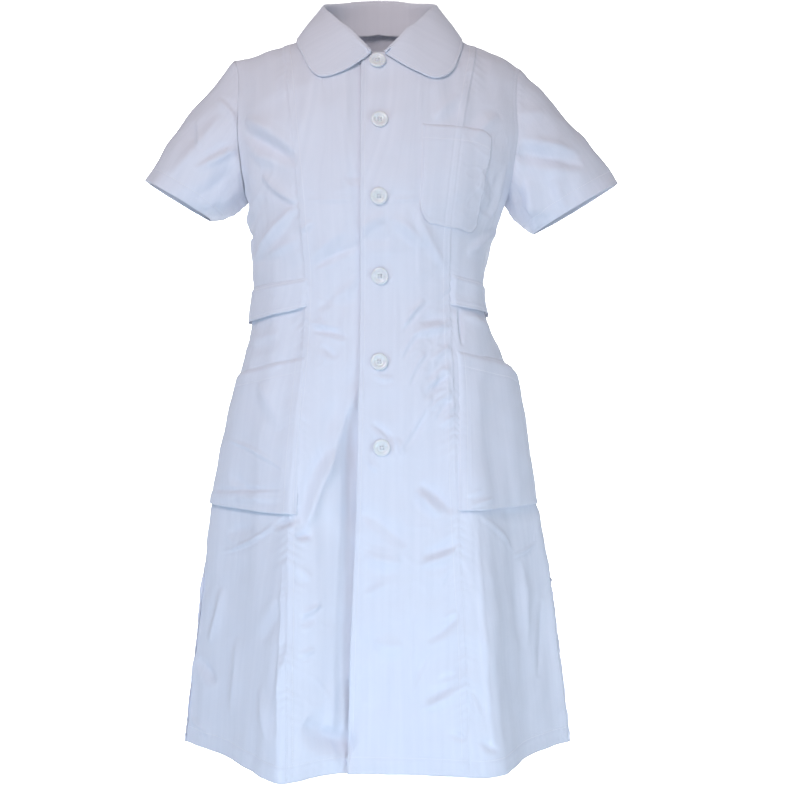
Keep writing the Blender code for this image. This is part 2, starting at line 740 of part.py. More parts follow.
# Buttons: a four-hole shape with a rim, and its places down the lap
ButtonPlace = namedtuple("ButtonPlace", "name turn height tilt")
BUTTON_PLACES = (
    ButtonPlace("button_1", 0.1, -0.0515, 0.0),
    ButtonPlace("button_2", 0.6, -0.1339, 0.0),
    ButtonPlace("button_3", 0.6, -0.2328, 0.0),
    ButtonPlace("button_4", 1.0, -0.3323, 0.0),
    ButtonPlace("button_5", 0.8, -0.4427, 0.0),
    ButtonPlace("button_6", 1.6, -0.5514, 6.0),
)
ButtonRing = namedtuple("ButtonRing", "radius height")
BUTTON_FACE = (
    ButtonRing(0.0062, 0.0021),
    ButtonRing(0.0080, 0.0024),
    ButtonRing(0.0090, 0.0032),
    ButtonRing(0.0102, 0.0032),
    ButtonRing(0.0109, 0.0022),
    ButtonRing(0.0106, 0.0008),
    ButtonRing(0.0088, 0.0000),
)
BUTTON_SIDES = 24
BUTTON_OFF = 0.0006
HOLE_RADIUS = 0.0010
HOLE_REACH = 0.0017
HOLE_SIDES = 8
HOLE_DEPTH = 0.0100


def button_pattern():
    """One button lying at the origin, with its four holes cut through."""
    mesh = bmesh.new()
    rings = []
    for ring in BUTTON_FACE:
        angles = [2 * math.pi * step / BUTTON_SIDES for step in range(BUTTON_SIDES)]
        rings.append(
            [
                mesh.verts.new((ring.radius * math.cos(a), ring.radius * math.sin(a), ring.height))
                for a in angles
            ]
        )
    for upper, lower in zip(rings, rings[1:]):
        for step in range(BUTTON_SIDES):
            after = (step + 1) % BUTTON_SIDES
            mesh.faces.new((upper[step], upper[after], lower[after], lower[step]))
    mesh.faces.new(rings[0])
    mesh.faces.new(rings[-1])
    bmesh.ops.recalc_face_normals(mesh, faces=mesh.faces)
    data = bpy.data.meshes.new("button_pattern")
    mesh.to_mesh(data)
    mesh.free()
    body = bpy.data.objects.new("button_pattern", data)
    bpy.context.scene.collection.objects.link(body)

    drill_mesh = bmesh.new()
    for step in range(4):
        angle = math.pi / 4 + step * math.pi / 2
        middle = Vector((HOLE_REACH * math.cos(angle), HOLE_REACH * math.sin(angle), 0))
        bmesh.ops.create_cone(
            drill_mesh,
            cap_ends=True,
            segments=HOLE_SIDES,
            radius1=HOLE_RADIUS,
            radius2=HOLE_RADIUS,
            depth=HOLE_DEPTH,
            matrix=Matrix.Translation(middle),
        )
    drill_data = bpy.data.meshes.new("drill")
    drill_mesh.to_mesh(drill_data)
    drill_mesh.free()
    drill = bpy.data.objects.new("drill", drill_data)
    bpy.context.scene.collection.objects.link(drill)

    cut = body.modifiers.new("holes", "BOOLEAN")
    cut.operation = "DIFFERENCE"
    cut.solver = "EXACT"
    cut.object = drill
    bpy.context.view_layer.update()
    graph = bpy.context.evaluated_depsgraph_get()
    pattern = bpy.data.meshes.new_from_object(body.evaluated_get(graph))
    bpy.data.objects.remove(body)
    bpy.data.objects.remove(drill)
    return pattern


def buttons():
    """The six buttons, each sewn to the lap with its face turned out."""
    pattern = button_pattern()
    for place in BUTTON_PLACES:
        rise = rise_at(np.array(place.turn), np.array(place.height))
        seat = Vector(body_points(place.turn, rise).tolist())
        out = Vector(body_normals(place.turn, rise).tolist())
        up = (Vector((0, 0, 1)) - out * out.z).normalized()
        across = up.cross(out)
        turned = Matrix((across, up, out)).transposed().to_4x4()
        lean_over = Matrix.Rotation(math.radians(place.tilt), 4, "Z")
        data = pattern.copy()
        data.name = place.name
        data.transform(Matrix.Translation(seat + out * BUTTON_OFF) @ turned @ lean_over)
        data.shade_smooth()
        data.set_sharp_from_angle(angle=math.radians(40))
        data.materials.clear()
        data.materials.append(cloth_material(place.name, WHITE_BUTTON, 0.3))
        made = bpy.data.objects.new(place.name, data)
        bpy.context.scene.collection.objects.link(made)


def dress():
    """Builds every piece."""
    panel("front_left", lap_turn(0), princess_turn(1), FRONT_COLUMNS)
    panel("front_right", princess_turn(-1), lap_turn(LAP_WIDTH), UNDER_FRONT_COLUMNS, sunk=True)
    panel("side_front_left", princess_turn(1), side_turn(1), SIDE_COLUMNS)
    panel("side_front_right", side_turn(-1), princess_turn(-1), SIDE_COLUMNS)
    panel("back", back_side(1), back_side(-1), BACK_COLUMNS, at_front=False)
    for cuff in CUFFS:
        sleeve("sleeve_left" if cuff.side > 0 else "sleeve_right", cuff)
    collar()
    patch("chest_pocket", CHEST_POCKET, columns=10, rows=8, thickness=POCKET_CLOTH)
    patch("hip_pocket_left", HIP_POCKET_LEFT, columns=10, rows=8, thickness=POCKET_CLOTH)
    patch("hip_pocket_right", HIP_POCKET_RIGHT, columns=10, rows=8, thickness=POCKET_CLOTH)
    patch("belt", BELT, columns=44, rows=3, thickness=BELT_CLOTH)
    buttons()


for old in list(bpy.data.objects):
    bpy.data.objects.remove(old)
dress()
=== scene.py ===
"""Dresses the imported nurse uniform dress: cloth, seams, creases, stitches, buttons and studio."""

import logging
import math
from collections.abc import Callable
from dataclasses import dataclass
from enum import Enum
from functools import cached_property
from typing import NamedTuple

import bmesh
import bpy
import numpy as np
from mathutils import Matrix, Vector


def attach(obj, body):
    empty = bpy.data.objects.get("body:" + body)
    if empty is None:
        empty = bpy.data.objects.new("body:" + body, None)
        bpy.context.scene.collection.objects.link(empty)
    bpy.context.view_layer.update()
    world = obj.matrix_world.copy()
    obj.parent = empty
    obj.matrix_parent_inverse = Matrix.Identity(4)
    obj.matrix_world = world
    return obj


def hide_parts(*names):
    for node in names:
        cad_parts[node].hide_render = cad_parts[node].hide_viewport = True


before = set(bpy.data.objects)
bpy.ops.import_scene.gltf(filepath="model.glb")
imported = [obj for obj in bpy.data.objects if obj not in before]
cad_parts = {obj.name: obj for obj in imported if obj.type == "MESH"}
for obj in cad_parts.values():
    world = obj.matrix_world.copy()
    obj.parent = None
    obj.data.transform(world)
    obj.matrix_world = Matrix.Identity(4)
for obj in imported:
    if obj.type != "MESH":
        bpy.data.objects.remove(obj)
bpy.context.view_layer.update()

log = logging.getLogger("nurse_dress")

MM = 0.001
FULL_TURN = 2 * math.pi
SHORTEST = 1e-12


# The form of the dress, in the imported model's frame


class Section(NamedTuple):
    """One level section: half widths, depths and squareness."""

    height: float
    right: float
    left: float
    front: float
    back: float
    squareness: float


class Reach(NamedTuple):
    """Distances from the middle at one height, on the wearer's right and left."""

    height: float
    right: float
    left: float


class Edge(NamedTuple):
    """Where the lap's edge runs at one height."""

    height: float
    edge: float


class Share(NamedTuple):
    """A value that goes with a turn or a share."""

    at: float
    value: float


class Fold(NamedTuple):
    """A soft fold of the skirt, from its top end to the hem."""

    turn_at_hem: float
    turn_at_top: float
    top: float
    spread: float
    depth: float


class Sink(NamedTuple):
    """How far the right front sinks beside the lap at one height."""

    height: float
    depth: float
    width: float


def curve_between(
    values: np.ndarray, slope: np.ndarray, low: np.ndarray, step: np.ndarray, t: np.ndarray
) -> np.ndarray:
    """Reads smooth curves between rows of values.

    Args:
        values: the value at each row.
        slope: the slope at each row.
        low: the row below each place.
        step: the distance from that row to the next.
        t: each place's share of that distance.

    Returns:
        The value at each place.
    """
    return (
        (2 * t**3 - 3 * t**2 + 1) * values[low]
        + (t**3 - 2 * t**2 + t) * step * slope[low]
        + (3 * t**2 - 2 * t**3) * values[low + 1]
        + (t**3 - t**2) * step * slope[low + 1]
    )


def read_table(rows: tuple, at: np.ndarray) -> list[np.ndarray]:
    """Reads a table smoothly between its rows.

    Args:
        rows: the table, its first column rising.
        at: values of the first column.

    Returns:
        Each other column at those values.
    """
    table = np.array(rows, float)
    keys = table[:, 0]
    at = np.clip(np.asarray(at, float), keys[0], keys[-1])
    low = np.clip(np.searchsorted(keys, at) - 1, 0, len(keys) - 2)
    step = keys[low + 1] - keys[low]
    t = (at - keys[low]) / step
    columns = table[:, 1:].T
    return [curve_between(c, np.gradient(c, keys), low, step, t) for c in columns]


def smooth_step(share: np.ndarray) -> np.ndarray:
    """Goes from 0 to 1 with a soft start and end."""
    share = np.clip(share, 0, 1)
    return share * share * (3 - 2 * share)


def bell(away: np.ndarray, width: float | np.ndarray) -> np.ndarray:
    """A soft bump: 1 in the middle and about 0 at twice its width."""
    return np.exp(-((away / width) ** 2))


def unit(vectors: np.ndarray) -> np.ndarray:
    """Vectors made one long."""
    return vectors / np.maximum(np.linalg.norm(vectors, axis=-1, keepdims=True), SHORTEST)


def grid_normals(points: np.ndarray, ring: bool = False) -> np.ndarray:
    """Outward directions of a grid whose columns run to the left, seen from outside.

    Args:
        points: rows by columns by 3.
        ring: whether the last column is the first one again.

    Returns:
        One direction for each point.
    """
    along = np.gradient(points, axis=1)
    if ring:
        both = points[:, 1] - points[:, -2]
        along[:, 0] = both
        along[:, -1] = both
    return unit(np.cross(along, np.gradient(points, axis=0)))


@dataclass(frozen=True)
class DressForm:
    """The smooth outer face of the dress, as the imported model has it."""

    hem: float = -0.955
    underarm: float = -0.225
    shoulder_reach: float = 0.205
    shoulder_fullness: float = 0.35
    ridge_slope: float = 0.285
    ridge_start: float = 0.080
    left_drop: float = 3.2
    left_drop_start: float = 0.135
    neck_rise: float = 0.060
    neck_rise_width: float = 0.060
    front_neck_lean: float = 0.5
    neck_half_width: float = 0.080
    neck_front: float = 0.083
    neck_back: float = 0.062
    lap_width: float = 0.044
    lap_return: float = 0.014
    lap_clear: float = 0.007
    lap_sink: float = 0.0027
    side_at_hem: float = 84.0
    side_at_underarm: float = 90.0
    fold_fade: float = 0.30
    shape_top: float = -0.400
    shape_span: float = 0.450
    dip_turn: float = -26.0
    dip_spread: float = 9.0
    dip_top: float = -0.780
    dip: float = 0.0055
    rise_start: float = 1.3
    rise_passes: int = 8
    bodice_middle: float = 1.5
    sections: tuple[Section, ...] = (
        Section(-0.955, 0.262, 0.260, 0.163, 0.168, 2.00),
        Section(-0.890, 0.256, 0.254, 0.158, 0.164, 2.00),
        Section(-0.826, 0.248, 0.246, 0.153, 0.160, 2.00),
        Section(-0.760, 0.241, 0.238, 0.149, 0.156, 2.00),
        Section(-0.680, 0.231, 0.227, 0.143, 0.150, 2.05),
        Section(-0.613, 0.222, 0.212, 0.138, 0.145, 2.10),
        Section(-0.548, 0.208, 0.196, 0.132, 0.138, 2.15),
        Section(-0.483, 0.194, 0.182, 0.124, 0.129, 2.20),
        Section(-0.440, 0.184, 0.170, 0.118, 0.121, 2.25),
        Section(-0.400, 0.175, 0.154, 0.111, 0.109, 2.30),
        Section(-0.360, 0.168, 0.141, 0.106, 0.101, 2.30),
        Section(-0.320, 0.168, 0.145, 0.109, 0.103, 2.30),
        Section(-0.270, 0.171, 0.157, 0.121, 0.112, 2.30),
        Section(-0.225, 0.176, 0.172, 0.127, 0.118, 2.35),
    )
    princess: tuple[Reach, ...] = (
        Reach(-0.955, 0.109, 0.116),
        Reach(-0.780, 0.110, 0.110),
        Reach(-0.650, 0.109, 0.103),
        Reach(-0.560, 0.106, 0.100),
        Reach(-0.480, 0.099, 0.098),
        Reach(-0.430, 0.096, 0.096),
        Reach(-0.335, 0.092, 0.094),
        Reach(-0.275, 0.096, 0.095),
        Reach(-0.215, 0.102, 0.101),
        Reach(-0.150, 0.108, 0.109),
        Reach(-0.090, 0.114, 0.118),
        Reach(-0.030, 0.122, 0.128),
        Reach(0.000, 0.126, 0.132),
    )
    lap_edges: tuple[Edge, ...] = (
        Edge(-0.955, -0.0344),
        Edge(-0.780, -0.0309),
        Edge(-0.660, -0.0263),
        Edge(-0.550, -0.0239),
        Edge(-0.440, -0.0216),
        Edge(-0.200, -0.0204),
        Edge(0.000, -0.0195),
    )
    armhole: tuple[Share, ...] = (
        Share(0.00, 90.0),
        Share(0.04, 79.0),
        Share(0.10, 71.0),
        Share(0.20, 65.0),
        Share(0.35, 62.0),
        Share(0.55, 62.0),
        Share(0.75, 64.5),
        Share(0.90, 68.5),
        Share(1.00, 72.5),
    )
    hem_shape: tuple[Share, ...] = (
        Share(-180, 0.95),
        Share(-168, 0.99),
        Share(-158, 0.94),
        Share(-148, 1.00),
        Share(-140, 0.98),
        Share(-129, 0.80),
        Share(-117, 0.55),
        Share(-104, 0.28),
        Share(-90, 0.00),
        Share(-76, 0.05),
        Share(-66, 0.16),
        Share(-59, 0.27),
        Share(-50, 0.44),
        Share(-46, 0.55),
        Share(-42, 0.70),
        Share(-35, 0.91),
        Share(-31, 1.05),
        Share(-27, 1.13),
        Share(-22, 1.11),
        Share(-15, 1.03),
        Share(-9, 0.99),
        Share(1, 0.99),
        Share(12, 1.02),
        Share(24, 1.06),
        Share(33, 1.07),
        Share(38, 0.98),
        Share(43, 0.73),
        Share(51, 0.41),
        Share(59, 0.25),
        Share(67, 0.12),
        Share(78, 0.04),
        Share(90, 0.00),
        Share(105, 0.30),
        Share(118, 0.58),
        Share(130, 0.82),
        Share(140, 0.98),
        Share(148, 1.02),
        Share(158, 0.97),
        Share(168, 0.93),
        Share(180, 0.95),
    )
    folds: tuple[Fold, ...] = (
        Fold(-142.0, -136.0, -0.460, 9.0, -0.0060),
        Fold(-161.0, -158.0, -0.420, 9.0, 0.0060),
        Fold(178.0, 179.0, -0.560, 9.0, -0.0050),
        Fold(157.0, 154.0, -0.440, 9.0, 0.0065),
        Fold(120.0, 122.0, -0.500, 10.0, -0.0060),
    )
    sinks: tuple[Sink, ...] = (
        Sink(-0.955, 0.0050, 0.030),
        Sink(-0.860, 0.0070, 0.030),
        Sink(-0.740, 0.0075, 0.034),
        Sink(-0.640, 0.0120, 0.036),
        Sink(-0.540, 0.0080, 0.028),
        Sink(-0.450, 0.0010, 0.022),
        Sink(-0.200, 0.0000, 0.022),
        Sink(0.000, 0.0000, 0.022),
    )

    def section_at(self, rise: np.ndarray) -> tuple[np.ndarray, ...]:
        """The section at a rise: 0 at the hem, 1 at the underarm, 2 at the shoulder seam.

        Args:
            rise: where up the dress.

        Returns:
            Height, half widths right and left, depths front and back, and squareness.
        """
        height = self.hem + (self.underarm - self.hem) * np.clip(rise, 0, 1)
        right, left, front, back, square = read_table(self.sections, height)
        full = np.sin(np.clip((rise - 1) / self.shoulder_fullness, 0, 1) * math.pi / 2)
        right = right + (self.shoulder_reach - right) * full
        left = left + (self.shoulder_reach - left) * full
        return height, right, left, front, back, square

    def nominal_height(self, rise: np.ndarray) -> np.ndarray:
        """The height of a rise near the princess seam, for reading the seam tables."""
        low = self.hem + (self.underarm - self.hem) * np.clip(rise, 0, 1)
        return low - self.underarm * np.sin(np.clip(rise - 1, 0, 1) * math.pi / 2)

    def turn_of(self, across: np.ndarray, rise: np.ndarray) -> np.ndarray:
        """The angle round the front at which the section is this far from the middle."""
        _, right, left, _, _, square = self.section_at(rise)
        share = np.clip(np.abs(across) / np.where(across < 0, right, left), 0, 1)
        return np.sign(across) * np.degrees(np.arcsin(share ** (square / 2)))

    def ridge_height(self, across: np.ndarray) -> np.ndarray:
        """Height of the shoulder ridge, which rises to the neck."""
        reach = np.abs(across)
        extra = self.left_drop * np.maximum(reach - self.left_drop_start, 0) ** 2
        drop = self.ridge_slope * (reach - self.ridge_start) + np.where(across > 0, extra, 0)
        return self.neck_rise * bell(reach, self.neck_rise_width) - drop

    def lean(self, across: np.ndarray, at_front: np.ndarray) -> np.ndarray:
        """Exponent of the bodice's side profile: 2 is round, and less is straighter."""
        straighter = self.front_neck_lean * bell(across, self.neck_rise_width)
        return 2 - np.where(at_front, straighter, 0)

    def fold_depth(self, turn: np.ndarray, height: np.ndarray) -> np.ndarray:
        """How far the soft folds of the skirt stand out here."""
        depth = np.zeros(np.broadcast(turn, height).shape)
        for fold in self.folds:
            down = np.clip((fold.top - height) / (fold.top - self.hem), 0, 1)
            middle = fold.turn_at_top + (fold.turn_at_hem - fold.turn_at_top) * down
            away = (turn - middle + 180) % 360 - 180
            strength = smooth_step((fold.top - height) / self.fold_fade)
            depth = depth + fold.depth * strength * bell(away, fold.spread)
        return depth

    def sunk_by(self, x: np.ndarray, height: np.ndarray) -> np.ndarray:
        """How far the right front lies in, under the lap and in the hollow beside it."""
        (edge,) = read_table(self.lap_edges, height)
        depth, width = read_table(self.sinks, height)
        under = smooth_step((x - edge + self.lap_clear) / self.lap_return + 1)
        return self.lap_sink * under + depth * bell(x - edge + width / 2, width)

    def points(self, turn: np.ndarray, rise: np.ndarray, sunk: bool = False) -> np.ndarray:
        """Points of the outer face.

        Args:
            turn: degrees round the body, 0 at the front and 90 at the wearer's left.
            rise: 0 at the hem, 1 at the underarm, 2 at the shoulder seam.
            sunk: whether this is the layer under the front lap.

        Returns:
            The points, in metres.
        """
        turn, rise = np.broadcast_arrays(np.asarray(turn, float), np.asarray(rise, float))
        height, right, left, front, back, square = self.section_at(rise)
        sine, cosine = np.sin(np.radians(turn)), np.cos(np.radians(turn))
        x = np.where(sine < 0, right, left) * np.sign(sine) * np.abs(sine) ** (2 / square)
        at_front = cosine > 0
        depth = np.where(at_front, front, back)
        share = np.abs(cosine) ** (2 / square)
        (shaped,) = read_table(self.hem_shape, (turn + 180) % 360 - 180)
        squared = smooth_step((self.shape_top - height) / self.shape_span)
        share = share + (shaped - share) * squared
        y = -depth * np.sign(cosine) * share
        arc = np.clip(rise - 1, 0, 1) * math.pi / 2
        power = 2 / self.lean(x, at_front)
        y = y * np.cos(arc) ** power
        z = height + (self.ridge_height(x) - self.underarm) * np.sin(arc) ** power
        out = unit(np.stack([x / right**2, y / depth**2], -1))
        push = self.fold_depth(turn, height)
        if sunk:
            push = push - self.sunk_by(x, self.nominal_height(rise))
        low = smooth_step((self.dip_top - height) / (self.dip_top - self.hem))
        z = z - self.dip * low * bell(turn - self.dip_turn, self.dip_spread)
        return np.stack([x + out[..., 0] * push, y + out[..., 1] * push, z], -1)

    def normals(self, turn: np.ndarray, rise: np.ndarray, sunk: bool = False) -> np.ndarray:
        """Outward directions of the outer face."""
        around, up = 0.16, 0.004
        turn, rise = np.broadcast_arrays(np.asarray(turn, float), np.asarray(rise, float))
        along = self.points(turn + around, rise, sunk) - self.points(turn - around, rise, sunk)
        low, high = np.clip(rise - up, 0, 2), np.clip(rise + up, 0, 2)
        return unit(np.cross(along, self.points(turn, high, sunk) - self.points(turn, low, sunk)))

    def rise_at(self, turn: np.ndarray, height: np.ndarray) -> np.ndarray:
        """The rise at which a place at this angle has this height."""
        rise = np.full(np.broadcast(turn, height).shape, self.rise_start)
        at_front = np.cos(np.radians(turn)) > 0
        for _ in range(self.rise_passes):
            x = self.points(turn, rise)[..., 0]
            share = (height - self.underarm) / (self.ridge_height(x) - self.underarm)
            power = self.lean(x, at_front) / 2
            rise = 1 + np.arcsin(np.clip(share, 0, 1) ** power) / (math.pi / 2)
        below = (height - self.hem) / (self.underarm - self.hem)
        return np.where(height < self.underarm, below, rise)

    def bodice_over(self, reach: np.ndarray, turn: np.ndarray) -> np.ndarray:
        """The place on the bodice this far from the neck's axis, seen from above."""
        x = reach * np.sin(np.radians(turn))
        away = -reach * np.cos(np.radians(turn))
        at_front = away < 0
        _, right, left, front, back, square = self.section_at(np.full_like(x, self.bodice_middle))
        half = np.where(x < 0, right, left)
        flank = (1 - (np.abs(x) / half) ** square) ** (1 / square)
        power = 2 / self.lean(x, at_front)
        share = np.clip(np.abs(away) / (np.where(at_front, front, back) * flank), 0, 1)
        arc = np.arccos(share ** (1 / power))
        z = self.underarm + (self.ridge_height(x) - self.underarm) * np.sin(arc) ** power
        return np.stack([x, away, z], -1)

    def neck_point(self, turn: np.ndarray) -> np.ndarray:
        """The neckline's point in this direction."""
        sine, cosine = np.sin(np.radians(turn)), np.cos(np.radians(turn))
        depth = np.where(cosine > 0, self.neck_front, self.neck_back)
        reach = 1 / np.sqrt((sine / self.neck_half_width) ** 2 + (cosine / depth) ** 2)
        return self.bodice_over(reach, turn)

    def neck_stop(self, x: np.ndarray, rise: np.ndarray, at_front: bool) -> np.ndarray:
        """The share of the bodice's rise at which a column meets the neck hole."""
        _, right, left, front, back, square = self.section_at(rise)
        opening = self.neck_front if at_front else self.neck_back
        hole = opening * np.sqrt(np.maximum(1 - (x / self.neck_half_width) ** 2, 0))
        half = np.where(x < 0, right, left)
        here = (front if at_front else back) * (1 - (np.abs(x) / half) ** square) ** (1 / square)
        share = np.clip(hole / here, 0, 1) ** (self.lean(x, at_front) / 2)
        return np.arccos(share) / (math.pi / 2)

    def princess_turn(self, side: int) -> Callable:
        """The princess seam's angle, for -1 on the wearer's right or 1 on the left."""

        def turn(rise: np.ndarray) -> np.ndarray:
            """The angle at a rise."""
            right, left = read_table(self.princess, self.nominal_height(rise))
            return self.turn_of(side * (right if side < 0 else left), rise)

        return turn

    def side_turn(self, side: int, behind: bool = False) -> Callable:
        """The angle of the side seam and of the armhole's edge above it.

        Args:
            side: -1 for the wearer's right, 1 for the left.
            behind: whether it is the back's edge.

        Returns:
            The angle as a function of the rise.
        """

        def turn(rise: np.ndarray) -> np.ndarray:
            """The angle at a rise."""
            span = self.side_at_underarm - self.side_at_hem
            seam = self.side_at_hem + span * np.clip(rise, 0, 1)
            (edge,) = read_table(self.armhole, np.clip(rise - 1, 0, 1))
            edge = 180 - edge if behind else edge
            return side * np.where(rise > 1, edge, seam)

        return turn

    def back_turn(self, side: int) -> Callable:
        """The back's edge, its angle counted on from the left side through the back."""

        def turn(rise: np.ndarray) -> np.ndarray:
            """The angle at a rise."""
            edge = self.side_turn(1, behind=True)(rise)
            return edge if side > 0 else 360 - edge

        return turn

    def lap_turn(self, extra: float) -> Callable:
        """The angle of the lap's edge, or of a line this far to its left."""

        def turn(rise: np.ndarray) -> np.ndarray:
            """The angle at a rise."""
            (edge,) = read_table(self.lap_edges, self.nominal_height(rise))
            return self.turn_of(edge + extra, rise)

        return turn


# Creases


class Crease(NamedTuple):
    """A crease between two places, in millimetres or, on a sleeve, in shares.

    On the body a place is its distance from the middle and its height. On a sleeve it is its
    share of the way round from the underarm over the front, and its share of the way down.
    bow bends it sideways, and lift is how far it stands out, or in if it is below 0.
    """

    start_across: float
    start_up: float
    end_across: float
    end_up: float
    bow: float
    width: float
    lift: float


@dataclass(frozen=True)
class Creases:
    """The creases of one surface, as lines in space."""

    place: Callable
    rows: tuple[Crease, ...]
    steps: int = 9
    sharpness: float = 1.45
    strength: float = 2.2
    off_surface: float = 0.014
    lee: float = 0.40
    lee_away: float = 1.9
    reach: float = 4.0
    end_fade: float = 0.7
    end_width: float = 0.55

    def lift(self, points: np.ndarray, normals: np.ndarray) -> np.ndarray:
        """How far the creases stand out at each point.

        Args:
            points: the smooth surface's points.
            normals: its outward directions.

        Returns:
            The lift of each point, in metres.
        """
        flat, out = points.reshape(-1, 3), normals.reshape(-1, 3)
        total = np.zeros(len(flat))
        for crease, line in zip(self.rows, self.paths):
            width = crease.width * MM
            near = np.linalg.norm(flat - line.mean(axis=0), axis=1)
            reach = np.linalg.norm(line[-1] - line[0]) / 2 + self.reach * width + self.off_surface
            chosen = np.flatnonzero(near < reach)
            if len(chosen) == 0:
                continue
            shape = self.one(flat[chosen], out[chosen], line, width)
            total[chosen] += shape * crease.lift * self.strength * MM
        return total.reshape(points.shape[:-1])

    @cached_property
    def paths(self) -> np.ndarray:
        """The line of every crease in space."""
        table = np.array(self.rows, float)
        start, end, bow = table[:, None, 0:2], table[:, None, 2:4], table[:, None, 4]
        way = end - start
        span = np.linalg.norm(way, axis=-1)
        share = np.linspace(0, 1, self.steps)
        bent = bow * np.sin(math.pi * share) / span
        across = start[..., 0] + way[..., 0] * share - bent * way[..., 1]
        up = start[..., 1] + way[..., 1] * share + bent * way[..., 0]
        return self.place(across, up)

    def one(
        self, flat: np.ndarray, out: np.ndarray, line: np.ndarray, width: float
    ) -> np.ndarray:
        """The shape of one crease, 1 high, at some points.

        Args:
            flat: the points.
            out: their outward directions.
            line: the crease's line.
            width: its width in metres.

        Returns:
            The height at each point.
        """
        best = np.full(len(flat), np.inf)
        along = np.zeros(len(flat))
        signed = np.zeros(len(flat))
        pieces = len(line) - 1
        for index in range(pieces):
            start, way = line[index], line[index + 1] - line[index]
            away = flat - start
            t = np.clip(away @ way / (way @ way), 0, 1)
            gap = away - t[:, None] * way
            gap = gap - np.einsum("ij,ij->i", gap, out)[:, None] * out
            distance = np.linalg.norm(gap, axis=1)
            closer = distance < best
            sideways = np.cross(np.broadcast_to(way, gap.shape), out)
            side = np.sign(np.einsum("ij,ij->i", sideways, gap))
            best = np.where(closer, distance, best)
            signed = np.where(closer, side * distance, signed)
            along = np.where(closer, (index + t) / pieces, along)
        ends = np.clip(4 * along * (1 - along), 0, 1) ** self.end_fade
        narrow = width * (self.end_width + (1 - self.end_width) * ends)
        ridge = np.exp(-(np.abs(signed) / narrow) ** self.sharpness)
        beside = self.lee * bell(signed - self.lee_away * narrow, narrow)
        return ends * (ridge - beside)


